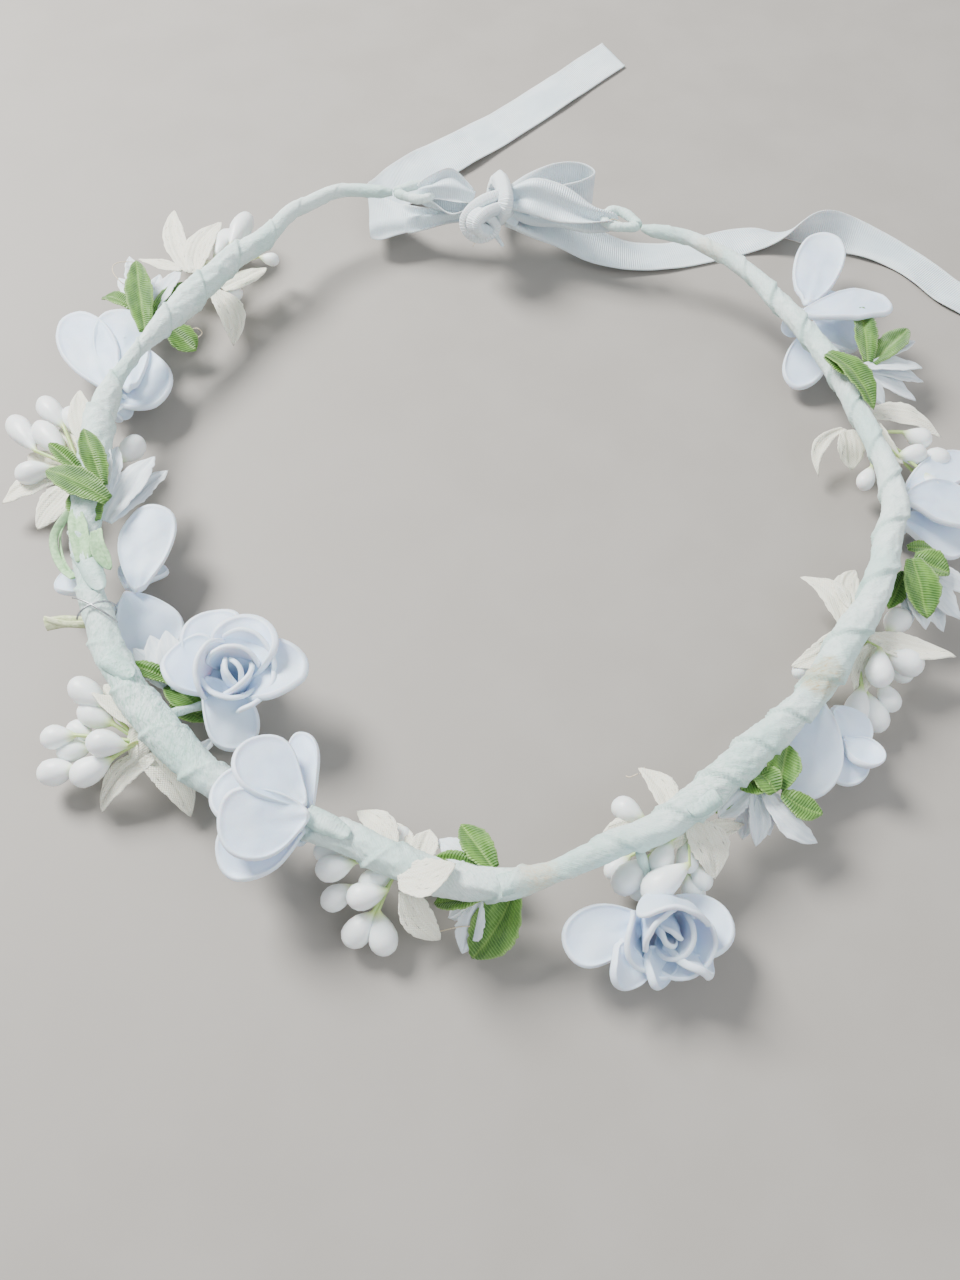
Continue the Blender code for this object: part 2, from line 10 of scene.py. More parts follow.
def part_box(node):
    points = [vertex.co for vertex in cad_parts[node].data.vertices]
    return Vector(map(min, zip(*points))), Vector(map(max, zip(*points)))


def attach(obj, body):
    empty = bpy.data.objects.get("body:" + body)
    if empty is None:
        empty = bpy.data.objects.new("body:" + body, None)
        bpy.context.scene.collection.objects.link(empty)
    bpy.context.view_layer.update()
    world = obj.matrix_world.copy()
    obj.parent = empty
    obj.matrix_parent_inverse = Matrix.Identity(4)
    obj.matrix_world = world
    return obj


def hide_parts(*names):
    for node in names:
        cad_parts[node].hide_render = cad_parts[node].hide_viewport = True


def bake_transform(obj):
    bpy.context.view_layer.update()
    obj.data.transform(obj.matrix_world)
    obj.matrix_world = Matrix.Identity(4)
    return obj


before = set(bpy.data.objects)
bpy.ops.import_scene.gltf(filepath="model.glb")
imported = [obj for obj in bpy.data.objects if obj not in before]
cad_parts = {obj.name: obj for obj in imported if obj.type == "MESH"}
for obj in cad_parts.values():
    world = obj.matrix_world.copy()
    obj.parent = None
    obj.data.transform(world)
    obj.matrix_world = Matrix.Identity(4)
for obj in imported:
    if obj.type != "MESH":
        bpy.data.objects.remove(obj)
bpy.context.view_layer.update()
MM = 0.001
UP = Vector((0, 0, 1))

# ---- camera, light and floor --------------------------------------------------------------
EYE = Vector((-0.001845, -0.153828, 0.205013))
LOOK_DOWN = 60               # degrees below level
LENS = 30
SKY, SKY_STRENGTH = (0.93, 0.96, 1.0, 1), 0.71
# place, size, watts, colour
WINDOW = ((-0.55, 0.45, 0.75), 0.42, 29.0, (1.0, 0.99, 0.965))
FILL = ((0.6, -0.5, 0.7), 0.9, 5.5, (0.92, 0.96, 1.0))


def stand_camera():
    lens = bpy.data.cameras.new("camera")
    lens.lens, lens.sensor_width, lens.clip_start = LENS, 36, 0.01
    camera = bpy.data.objects.new("camera", lens)
    camera.location = EYE
    camera.rotation_euler = (math.radians(90 - LOOK_DOWN), 0, 0)
    bpy.context.scene.collection.objects.link(camera)
    bpy.context.scene.camera = camera


def hang_light(name, place, size, power, colour):
    """A round soft light aimed at the middle of the crown."""
    lamp = bpy.data.lights.new(name, "AREA")
    lamp.shape, lamp.size, lamp.energy, lamp.color = "DISK", size, power, colour
    light = bpy.data.objects.new(name, lamp)
    light.location = place
    light.rotation_euler = (-Vector(place)).to_track_quat("-Z", "Y").to_euler()
    bpy.context.scene.collection.objects.link(light)


def light_studio():
    world = bpy.data.worlds.new("studio")
    world.use_nodes = True
    backdrop = world.node_tree.nodes["Background"]
    backdrop.inputs["Color"].default_value = SKY
    backdrop.inputs["Strength"].default_value = SKY_STRENGTH
    bpy.context.scene.world = world
    hang_light("window", *WINDOW)
    hang_light("fill", *FILL)


# ---- finishes -----------------------------------------------------------------------------
class Value:
    """A number on its way through a finish: sums written with it become Math nodes."""

    def __init__(self, finish, socket):
        self.finish, self.socket = finish, socket

    def _sum(self, operation, *numbers):
        return self.finish.node("Math", {"operation": operation}, dict(enumerate(numbers)))

    def __add__(self, other):
        return self._sum("ADD", self, other)

    def __sub__(self, other):
        return self._sum("SUBTRACT", self, other)

    def __rsub__(self, other):
        return self._sum("SUBTRACT", other, self)

    def __mul__(self, other):
        return self._sum("MULTIPLY", self, other)

    def wave(self):
        return self._sum("SINE", self)

    def size(self):
        return self._sum("ABSOLUTE", self)

    def step(self, low, high):
        """0 below low, 1 above high, smooth between."""
        return self.finish.node("MapRange", {"interpolation_type": "SMOOTHSTEP"},
                                {"Value": self, "From Min": low, "From Max": high})

    __radd__, __rmul__ = __add__, __mul__


class Finish:
    """One material, built from the cloth coordinates (mm across, mm along) and the edge mark
    that every piece carries, and from its place in space. On the wound tape the edge mark holds
    painted shade."""

    def __init__(self, name, **surface):
        self.material = bpy.data.materials.new(name)
        self.material.use_nodes = True
        self.tree = self.material.node_tree
        self.shader = self.tree.nodes["Principled BSDF"]
        for socket, value in surface.items():
            self.shader.inputs[socket.replace("_", " ").title()].default_value = value
        self.place = self.node("TexCoord", out="Object")

    def node(self, kind, settings=None, sockets=None, out=0):
        node = self.tree.nodes.new("ShaderNode" + kind)
        for key, value in (settings or {}).items():
            setattr(node, key, value)
        for key, value in (sockets or {}).items():
            self.join(value, node.inputs[key])
        return Value(self, node.outputs[out])

    def join(self, value, socket):
        if isinstance(value, Value):
            self.tree.links.new(value.socket, socket)
        else:
            socket.default_value = value

    def feed(self, socket, value):
        self.join(value, self.shader.inputs[socket])

    def cloth(self):
        """Millimetres across and along the cloth."""
        marks = self.node("UVMap", {"uv_map": "cloth"})
        across = self.node("SeparateXYZ", None, {0: marks})
        return marks, across, Value(self, across.socket.node.outputs[1])

    def edge(self):
        """0 in the middle of a petal, 1 at its edge; on the wound tape, the painted shade of its
        laps and creases.
        """
        return self.node("Attribute", {"attribute_name": "edge"}, out="Fac")

    def stretch(self, vector, x, y, z=1.0):
        return self.node("VectorMath", {"operation": "MULTIPLY"}, {0: vector, 1: (x, y, z)})

    def grain(self, vector, scale, detail=3.0, rough=0.55):
        return self.node("TexNoise", None, {"Vector": vector, "Scale": scale, "Detail": detail,
                                            "Roughness": rough})

    def mix(self, share, plain, other):
        return self.node("Mix", {"data_type": "RGBA"}, {0: share, 6: plain, 7: other}, 2)

    def spot(self, centre, radius):
        """1 at a place on the crown, fading out with ragged edges."""
        away = self.node("VectorMath", {"operation": "DISTANCE"}, {0: self.place, 1: centre},
                         "Value")
        ragged = away + (self.grain(self.place, 260.0) - 0.5) * radius
        return 1 - ragged.step(radius * 0.35, radius)

    def bump(self, height, depth, strength=1.0):
        """height in shares of depth, which is in metres."""
        self.feed("Normal", self.node("Bump", None, {"Height": height, "Distance": depth,
                                                     "Strength": strength}))
        return self.material


def colour(red, green, blue):
    return (red, green, blue, 1.0)


def foam_finish():
    """Smooth closed-cell foam, cool white, a little lighter along the pressed rim."""
    f = Finish("rose_foam", roughness=0.5, subsurface_weight=0.18, subsurface_scale=0.004,
               sheen_weight=0.12, sheen_roughness=0.5)
    soft = f.grain(f.place, 90.0, 2.0)
    body = f.mix(soft.step(0.35, 0.7), colour(0.62, 0.75, 0.94), colour(0.74, 0.85, 0.985))
    f.feed("Base Color", f.mix(f.edge().step(0.86, 0.96) * 0.55, body, colour(0.84, 0.90, 0.98)))
    f.feed("Roughness", soft * 0.16 + 0.42)
    cells = f.grain(f.place, 5200.0, 2.0, 0.6)
    dents = f.grain(f.place, 420.0, 3.0)
    return f.bump(cells * 0.3 + dents, 0.00022, 0.55)


def linen_finish():
    """Cream cloth of thin slubbed threads, with dark weft ends showing here and there."""
    f = Finish("star_linen", roughness=0.88, sheen_weight=0.25, sheen_roughness=0.6,
               subsurface_weight=0.08, subsurface_scale=0.002)
    marks, across, along = f.cloth()
    threads = (across * 10.5).wave() * (along * 10.5).wave()
    ribs = (across * 5.4 + f.grain(marks, 0.5) * 2.0).wave()
    slubs = f.grain(f.stretch(marks, 3.2, 0.35), 1.0, 2.0)
    dark = f.grain(f.stretch(marks, 3.6, 0.6), 1.0, 1.0).step(0.60, 0.70)
    patch = f.grain(marks, 0.22).step(0.42, 0.58)
    body = f.mix(slubs.step(0.3, 0.75), colour(0.80, 0.77, 0.62), colour(0.90, 0.885, 0.78))
    body = f.mix(threads.step(0.1, 0.9) * 0.35, body, colour(0.62, 0.61, 0.52))
    body = f.mix(dark * patch * 0.8, body, colour(0.16, 0.16, 0.14))
    f.feed("Base Color", f.mix(f.edge().step(0.7, 1.0) * 0.5, body, colour(0.92, 0.89, 0.76)))
    f.feed("Roughness", 0.95 - slubs * 0.2)
    return f.bump(threads * 0.4 + ribs * 0.35 + slubs * 0.5, 0.00016, 0.65)


def cotton_finish():
    """Stiffened fine cotton, blue-white, creased lengthways, with painted shade in the crease
    hollows.
    """
    f = Finish("blossom_cotton", roughness=0.8, sheen_weight=0.2, sheen_roughness=0.6,
               subsurface_weight=0.1, subsurface_scale=0.002)
    marks, across, along = f.cloth()
    threads = (across * 18.0).wave() * (along * 18.0).wave()
    creases = f.grain(f.stretch(marks, 1.6, 0.14), 1.0, 3.0)
    # painted shade: the cotton is darker in the crease hollows
    body = f.mix(creases.step(0.3, 0.7), colour(0.70, 0.79, 0.86), colour(0.86, 0.91, 0.95))
    f.feed("Base Color", f.mix(f.edge().step(0.75, 1.0) * 0.5, body, colour(0.93, 0.95, 0.96)))
    f.feed("Roughness", 0.9 - creases * 0.25)
    return f.bump(threads * 0.2 + creases, 0.00025, 0.7)


def leaf_finish():
    """Green satin with fine cross ribs, lighter on each rib and at the cut edge, with painted
    shade and sheen in broad patches.
    """
    f = Finish("leaf_satin", roughness=0.45, sheen_weight=0.3, sheen_roughness=0.4)
    marks, across, along = f.cloth()
    ribs = (along * 11.0 + across * 4.0 + f.grain(marks, 0.6) * 3.0).wave()
    # painted shade and sheen: broad darker and lighter patches of green, the lighter ones shinier
    shade = f.grain(f.stretch(marks, 0.5, 0.16), 1.0, 2.0).step(0.32, 0.68)
    body = f.mix(shade, colour(0.032, 0.12, 0.012), colour(0.12, 0.28, 0.035))
    body = f.mix(ribs.step(0.1, 1.0) * 0.35, body, colour(0.25, 0.45, 0.10))
    body = f.mix(across.size().step(0.35, 0.0) * 0.5, body, colour(0.28, 0.46, 0.11))
    f.feed("Base Color", f.mix(f.edge().step(0.82, 1.0) * 0.5, body, colour(0.36, 0.56, 0.17)))
    f.feed("Roughness", 0.55 - shade * 0.18)
    return f.bump(ribs * 0.5 + f.grain(f.place, 900.0), 0.00018, 0.8)


def bud_finish():
    """Buds dipped in pearl white, greenish where they sit on the stalk."""
    f = Finish("bud_pearl", roughness=0.38, coat_roughness=0.35, subsurface_weight=0.15,
               subsurface_scale=0.003)
    _, _, along = f.cloth()
    cloud = f.grain(f.place, 220.0, 2.0)
    body = f.mix(cloud.step(0.3, 0.7), colour(0.82, 0.87, 0.87), colour(0.92, 0.95, 0.95))
    foot = 1 - (along + cloud * 1.6).step(0.4, 3.0)
    body = f.mix(foot * 0.85, body, colour(0.48, 0.64, 0.12))
    f.feed("Base Color", f.mix((along * -1.0).step(0.0, 0.6), body, colour(0.44, 0.60, 0.22)))
    f.feed("Roughness", cloud * 0.25 + 0.26)
    return f.bump(f.grain(f.place, 500.0, 3.0), 0.0002, 0.45)


# place, radius, strength
GREEN_STAINS = (((-0.068, -0.066, 0.018), 0.022, 0.80), ((-0.086, -0.022, 0.018), 0.020, 0.55),
                ((0.0435, -0.078, 0.018), 0.013, 0.55), ((0.020, -0.094, 0.018), 0.012, 0.35),
                ((-0.078, -0.048, 0.018), 0.016, 0.50))
# place, radius, colour
BROWN_STAINS = (((0.0660, -0.0545, 0.0190), 0.0060, (0.52, 0.38, 0.17)),
                ((0.0085, -0.0945, 0.0165), 0.0060, (0.72, 0.63, 0.45)),
                ((0.0165, -0.0975, 0.0165), 0.0060, (0.80, 0.74, 0.62)),
                ((0.0560, 0.0700, 0.0180), 0.0060, (0.78, 0.76, 0.64)))


def tape_finish():
    """Waxed crepe paper: fine wrinkles across the strip, mint where it is wound thick, a few old
    glue stains, and painted shade in the wrinkle hollows and at the laps and creases of the
    winding."""
    f = Finish("crepe_tape", roughness=0.78, subsurface_weight=0.06, subsurface_scale=0.002,
               sheen_weight=0.1, sheen_roughness=0.6)
    marks, _, _ = f.cloth()
    crepe = f.grain(f.stretch(marks, 0.7, 2.6), 1.0, 5.0, 0.65)
    wrinkle = f.grain(f.place, 330.0, 4.0, 0.6)
    thick = f.grain(f.place, 60.0, 3.0)
    body = f.mix(thick.step(0.40, 0.64), colour(0.79, 0.895, 0.87), colour(0.60, 0.79, 0.745))
    mottled = f.grain(f.stretch(marks, 1.1, 1.1), 1.0, 4.0, 0.7).step(0.44, 0.62)
    green = colour(0.26, 0.52, 0.39)
    for centre, radius, share in GREEN_STAINS:
        body = f.mix(f.spot(centre, radius) * mottled * share, body, green)
    for centre, radius, stain in BROWN_STAINS:
        body = f.mix(f.spot(centre, radius) * (mottled * 0.5 + 0.5), body, colour(*stain))
    # painted shade: darker in the hollows of the crepe wrinkles
    body = f.mix(crepe.step(0.60, 0.36) * 0.35, body, colour(0.46, 0.64, 0.59))
    # painted shade from the edge mark: the laps, creases and puckers of the wound tape; on the
    # torn slips this darkens them towards their edges
    body = f.mix(f.edge() * 0.8, body, colour(0.36, 0.56, 0.50))
    f.feed("Base Color", body)
    f.feed("Roughness", 0.62 + crepe * 0.3)
    return f.bump(crepe * 0.9 + wrinkle * 0.9, 0.00045, 0.8)


def satin_finish():
    """White satin ribbon: cross ribs that show where it turns, and a woven edge each side."""
    f = Finish("ribbon_satin", roughness=0.4, sheen_weight=0.25, sheen_roughness=0.35,
               subsurface_weight=0.08, subsurface_scale=0.002)
    marks, across, along = f.cloth()
    rib = (along * 10.5).wave()
    show = f.grain(f.stretch(marks, 0.05, 0.05), 1.0, 2.0).step(0.42, 0.62)
    edge = across.size().step(4.35, 4.75)
    cloud = f.grain(f.stretch(marks, 0.15, 0.05), 1.0, 3.0)
    body = f.mix(cloud.step(0.3, 0.7), colour(0.62, 0.73, 0.79), colour(0.78, 0.865, 0.90))
    body = f.mix(rib.step(-0.2, 0.9) * (show * 0.5 + 0.12), body, colour(0.58, 0.67, 0.73))
    f.feed("Base Color", f.mix(edge * 0.7, body, colour(0.86, 0.92, 0.94)))
    f.feed("Roughness", edge * 0.25 + cloud * 0.2 + 0.3)
    woven = (along * 21.0).wave() * edge
    return f.bump(rib * (show * 0.6 + 0.3) + woven * 0.5 + cloud * 0.6, 0.00012, 0.8)


def plain_finish(name, light, dark, scale, rough, depth, **surface):
    """Thread, paper and wire: two tones in a fine grain."""
    f = Finish(name, **surface)
    grain = f.grain(f.place, scale, 4.0)
    f.feed("Base Color", f.mix(grain.step(0.35, 0.65), colour(*dark), colour(*light)))
    f.feed("Roughness", grain * 0.25 + rough)
    return f.bump(grain, depth, 0.6)


# ---- pieces -------------------------------------------------------------------------------
class Piece:
    """The skins of one piece, joined from closed rings of points."""

    def __init__(self):
        self.mesh = bmesh.new()
        self.marks = self.mesh.loops.layers.uv.new("cloth")
        self.edges = self.mesh.verts.layers.float.new("edge")

    def loft(self, rings, marks, edges=None):
        """Skin rings of equal length in turn and close both ends. A ring of one point is a tip.
        marks are (across, along) in mm, one more than the points where a ring meets itself."""
        made = []
        for i, ring in enumerate(rings):
            row = [self.mesh.verts.new(point) for point in ring]
            for j, vert in enumerate(row):
                vert[self.edges] = edges[i][j] if edges else 0.0
            made.append(row)
        count = max(len(ring) for ring in rings)

        def mark(i, j):
            row = marks[i]
            return row[min(j, len(row) - 1)] if len(row) > count else row[j % len(row)]

        def face(corners):
            new = self.mesh.faces.new([made[i][j % len(made[i])] for i, j in corners])
            new.smooth = True
            for loop, (i, j) in zip(new.loops, corners):
                loop[self.marks].uv = mark(i, j)

        for i in range(len(rings) - 1):
            for j in range(count):
                low, high = len(made[i]) > 1, len(made[i + 1]) > 1
                if low and high:
                    face([(i, j), (i, j + 1), (i + 1, j + 1), (i + 1, j)])
                elif low:
                    face([(i, j), (i, j + 1), (i + 1, 0)])
                else:
                    face([(i, 0), (i + 1, j + 1), (i + 1, j)])
        for i in (0, len(rings) - 1):
            if len(made[i]) > 1:
                face([(i, j) for j in range(count)])

    def done(self, name, material, body, slot, *stands_for):
        bmesh.ops.recalc_face_normals(self.mesh, faces=self.mesh.faces)
        data = bpy.data.meshes.new(name)
        self.mesh.to_mesh(data)
        self.mesh.free()
        data.materials.append(material)
        piece = bpy.data.objects.new(name, data)
        bpy.context.scene.collection.objects.link(piece)
        if isinstance(body, str):
            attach(piece, body)
        else:
            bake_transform(piece)
        if stands_for:
            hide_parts(*stands_for)
        return piece


def wobble(point, scale, depth):
    """A slow unevenness that depends only on the place; a larger scale makes it finer."""
    return noise.noise(Vector(point) * scale) * depth


CURL_FROM, TWIST_ABOUT = 0.6, 0.3     # shares of the way from foot to tip


class Lay:
    """Where a petal lies: a straight line from foot to tip, given a roll about it, a cup across
    it, a bow and a curled tip along it, a twist and a sideways sway."""

    def __init__(self, foot, tip, width, roll=0, cup=0, bow=0, curl=0, twist=0, sway=0):
        self.foot, self.line, self.width = Vector(foot), Vector(tip) - Vector(foot), width
        self.length = self.line.length
        ahead = self.line.normalized()
        face = UP - ahead * ahead.z
        if face.length < 0.2:
            face = Vector((0, -1, 0)) + ahead * ahead.y
        face = Matrix.Rotation(math.radians(roll), 3, ahead) @ face.normalized()
        self.ahead, self.face, self.side = ahead, face, ahead.cross(face)
        self.arc = math.radians(cup)
        self.bow, self.curl, self.sway = bow, curl, sway
        self.twist = math.radians(twist)

    def point(self, across, share, lift=0.0):
        """across in metres from the midrib, share of the way to the tip, lift off the face."""
        if abs(self.arc) > 0.01:
            radius = self.width / self.arc
            turn = across / radius
            x, z = radius * math.sin(turn), radius * (1 - math.cos(turn))
        else:
            turn, x, z = 0.0, across, 0.0
        x, z = x - lift * math.sin(turn), z + lift * math.cos(turn)
        arch = 4 * share * (1 - share) * self.length
        past = max(0, (share - CURL_FROM) / (1 - CURL_FROM))
        z += self.bow * arch + self.curl * self.length * past ** 2
        x += self.sway * arch
        spin = self.twist * (share - TWIST_ABOUT)
        side = self.side * math.cos(spin) + self.face * math.sin(spin)
        face = self.face * math.cos(spin) - self.side * math.sin(spin)
        return self.foot + self.line * share + side * x + face * z


RIM, RIM_SPREAD = 0.935, 0.04        # how far out the pressed rim of a foam petal is, its spread
FOAM_BODY, FOAM_RIM, FOAM_HEART = 0.5, 0.34, 0.12    # shares of thickness: all over, rim, middle
FOAM_DIMPLES = 0.00022               # depth of the small unevenness of the foam
RIM_RINGS = (0.0, 0.2, 0.38, 0.54, 0.68, 0.79, 0.865, 0.905, 0.94, 0.968, 0.988, 1.0)


def foam_petal(piece, lay, thick=0.00095, waist=0.62, pleats=0.0005, sides=40, sag=0.0007):
    """A round foam petal, thin in the middle with a soft pressed rim, pleated at its foot. waist
    is how much narrower it is at its foot, sag the depth of its slow waves."""
    seed = noise.noise(lay.foot * 900 + lay.line * 300) * 6

    def spot(share_out, angle, face):
        along, across = math.sin(angle) * share_out, math.cos(angle) * share_out
        share = 0.5 + 0.5 * along
        narrow = 1 - waist * ((1 - along) / 2) ** 1.7
        narrow *= 1 + 0.06 * math.sin(angle * 2 + seed) + 0.04 * math.sin(angle * 3 + seed * 2)
        x = across * narrow * lay.width / 2
        rim = math.exp(-((share_out - RIM) / RIM_SPREAD) ** 2)
        half = thick * (FOAM_BODY + FOAM_RIM * rim + FOAM_HEART * (1 - share_out))
        if share_out > RIM:
            half *= math.sqrt(max(0.0, 1 - ((share_out - RIM) / (1 - RIM)) ** 2))
        lift = face * half
        lift += pleats * math.cos(across * 9 + seed) * math.exp(-share * 6)
        flat = lay.point(x, share)
        lift += wobble(flat, 150, sag) + wobble(flat, 420, FOAM_DIMPLES)
        return lay.point(x, share, lift), (x / MM, share * lay.length / MM), share_out

    rings = [(out, 1) for out in RIM_RINGS] + [(out, -1) for out in reversed(RIM_RINGS[:-1])]
    skins = []
    for out, face in rings:
        angles = [math.tau * i / sides for i in range(sides)] if out else [0]
        skins.append([spot(out, angle, face) for angle in angles])
    piece.loft([[p for p, _, _ in skin] for skin in skins],
               [[mark for _, mark, _ in skin] for skin in skins],
               [[edge for _, _, edge in skin] for skin in skins])


MIDRIB = 0.14                # half width of a blade's midrib crease, as a share of its half width
CLOTH_WAVES = 0.0005         # depth of the slow waves in a cloth petal
ACROSS = (-1, -0.9, -0.72, -0.5, -0.25, 0, 0.25, 0.5, 0.72, 0.9, 1)


def blade(piece, lay, fullest=0.45, foot=0.35, blunt=0.0, thick=0.00042, rib=0.0003, fray=0.02,
          rows=22, pleats=3):
    """A pointed petal or leaf of cloth, creased along its midrib, with a slightly frayed cut
    edge. fullest is where it is widest, foot its width at the foot, blunt how round its tip is."""
    seed = noise.noise(lay.foot * 700 + lay.line * 500) * 9
    rings, marks, edges = [], [], []
    for i in range(rows + 1):
        share = i / rows
        if share < fullest:
            wide = foot + (1 - foot) * math.sin(math.pi / 2 * share / fullest)
        else:
            wide = math.cos(math.pi / 2 * (share - fullest) / (1 - fullest)) ** (1 - 0.55 * blunt)
            wide = max(wide, 0.0)
        half = lay.width / 2 * wide
        ring, mark, edge = [], [], []
        for face in (1, -1):
            for across in ACROSS if face > 0 else reversed(ACROSS):
                torn = noise.noise(Vector((share * 16, seed, across)))
                torn = 1 + fray * torn * 3 * abs(across) ** 4
                x = across * half * torn
                body = thick / 2 * math.sqrt(max(0.06, 1 - across ** 4)) * face
                crease = -rib * math.exp(-abs(across) / MIDRIB)
                fold = rib * 0.6 * math.cos(across * math.pi * pleats + seed)
                fold *= 1 - abs(across) ** 3
                lift = body + (crease + fold) * min(1.0, wide * 1.4)
                lift += wobble(lay.point(x, share), 260, CLOTH_WAVES)
                ring.append(lay.point(x, share, lift))
                mark.append((x / MM, share * lay.length / MM))
                edge.append(abs(across))
        if wide < 0.02:
            ring, mark, edge = [lay.point(0, share)], [(0, share * lay.length / MM)], [1.0]
        rings.append(ring)
        marks.append(mark)
        edges.append(edge)
    piece.loft(rings, marks, edges)


def rod(piece, path, radii, sides=8, flat=1.0, ridge=0.0):
    """A round or flattened strand along a path of points."""
    rings, marks = [], []
    run = 0.0
    side = None
    for i, (point, radius) in enumerate(zip(path, radii)):
        ahead = (path[min(i + 1, len(path) - 1)] - path[max(i - 1, 0)]).normalized()
        if side is None:
            side = ahead.orthogonal().normalized()
        side = (side - ahead * side.dot(ahead)).normalized()
        over = ahead.cross(side)
        if i:
            run += (point - path[i - 1]).length
        ring, mark = [], []
        for j in range(sides + 1):
            turn = math.tau * j / sides
            reach = radius * (1 + ridge * math.cos(turn * 5))
            if j < sides:
                ring.append(point + side * reach * math.cos(turn)
                            + over * reach * flat * math.sin(turn))
            mark.append((turn * radius / MM, run / MM))
        rings.append(ring)
        marks.append(mark)
    piece.loft(rings, marks)


def smooth(points, steps):
    """A smooth curve through rows of numbers; steps between neighbouring rows."""
    padded = [points[0], *points, points[-1]]
    out = []
    for i in range(len(points) - 1):
        before, here, there, after = padded[i:i + 4]
        for k in range(steps):
            t = k / steps
            out.append([0.5 * (2 * b + (c - a) * t + (2 * a - 5 * b + 4 * c - d) * t * t
                               + (3 * b - a - 3 * c + d) * t ** 3)
                        for a, b, c, d in zip(before, here, there, after)])
    out.append(list(points[-1]))
    return out


def strand(piece, points, radius, steps=6, taper=None, **shape):
    """A thread, stalk or wire through points in mm."""
    path = [Vector(row) * MM for row in smooth(points, steps)]
    radii = [radius * (1 if taper is None else 1 + (taper - 1) * i / (len(path) - 1))
             for i in range(len(path))]
    rod(piece, path, radii, **shape)


# ---- the hoop -----------------------------------------------------------------------------
HEAD_WIDTH, HEAD_DEPTH, RING_HEIGHT = 0.180, 0.1916, 0.016
LEFT_END, RIGHT_END = -271.0, 241.0          # mm along the hoop from its front
# place on the hoop in degrees, how far in mm the hoop is bent out there
HAND_BENDS = (
    (-166, 2.3), (-155, 8.5), (-149, 7.5), (-140, 2.5), (-122, 0.5), (-105, 2.2), (-88, -0.8),
    (-62, -1.0), (-40, -1.6), (-20, -4.3), (0, 0.0), (18, -4.3), (39, -7.5), (56, -6.2),
    (75, -2.2), (85, 0.4), (102, -2.2), (120, -2.0), (135, 0.0), (142, -0.5), (152, -4.0),
)
# place on the hoop in mm, radius of the wound tape in mm
TAPE_BUILD = (
    (-271, 1.5), (-240, 1.9), (-222, 3.0), (-200, 3.6), (-172, 3.4), (-150, 3.7), (-132, 3.3),
    (-112, 3.0), (-95, 3.8), (-68, 4.0), (-50, 3.2), (-34, 2.9), (-18, 3.4), (2, 3.2), (12, 2.1),
    (28, 2.8), (44, 3.6), (58, 3.8), (72, 3.2), (86, 3.6), (104, 3.2), (122, 3.0), (150, 2.9),
    (176, 3.3), (196, 3.1), (212, 2.3), (228, 1.9), (241, 1.6),
)


def eased(table, where):
    """Read a (place, value) table with smooth steps between its entries."""
    if where <= table[0][0]:
        return table[0][1]
    for (start, low), (end, high) in zip(table, table[1:]):
        if where <= end:
            share = 0.5 - 0.5 * math.cos(math.pi * (where - start) / (end - start))
            return low + (high - low) * share
    return table[-1][1]


def bend_wire():
    """The hoop's wire by half degrees, with the distance of each point from the front in mm."""
    line = []
    front = 340              # half degrees from the left end to the front of the hoop
    for step in range(-front, 321):
        angle = math.radians(step / 2)
        swell = 1 + eased(HAND_BENDS, step / 2) * MM / (HEAD_WIDTH + HEAD_DEPTH) * 4
        line.append(Vector((HEAD_WIDTH / 2 * swell * math.sin(angle),
                            -HEAD_DEPTH / 2 * swell * math.cos(angle), RING_HEIGHT)))
    stations = [0.0] * len(line)
    for i in range(front + 1, len(line)):
        stations[i] = stations[i - 1] + (line[i] - line[i - 1]).length / MM
    for i in range(front - 1, -1, -1):
        stations[i] = stations[i + 1] - (line[i + 1] - line[i]).length / MM
    return stations, line


STATIONS, LINE = bend_wire()


def hoop_at(station):
    """Point on the wire, direction along it, and direction outward."""
    i = 1
    while i < len(STATIONS) - 2 and STATIONS[i] < station:
        i += 1
    share = (station - STATIONS[i - 1]) / (STATIONS[i] - STATIONS[i - 1])
    ahead = (LINE[min(i + 1, len(LINE) - 1)] - LINE[max(i - 2, 0)]).normalized()
    return LINE[i - 1].lerp(LINE[i], share), ahead, Vector((ahead.y, -ahead.x, 0))


# where the tape is pulled in tight: place on the hoop, share of its build
TAPE_PULL = ((-202, 1.0), (-178, 0.52), (-158, 1.0), (-118, 1.0), (-98, 0.9), (-76, 1.0),
             (128, 1.0), (150, 0.82), (200, 0.82), (222, 0.95))
TAPE_STEP = 0.4             # mm between the rings of the wound tape
TAPE_SIDES = 48
WRAP = 12.5                  # mm of hoop that one turn of tape covers
FULL_TAPE = 0.0032           # radius from which the tape is thick enough to crease fully
CREASES, PUCKERS, CRINKLES = 0.00055, 0.00026, 0.00007       # depths


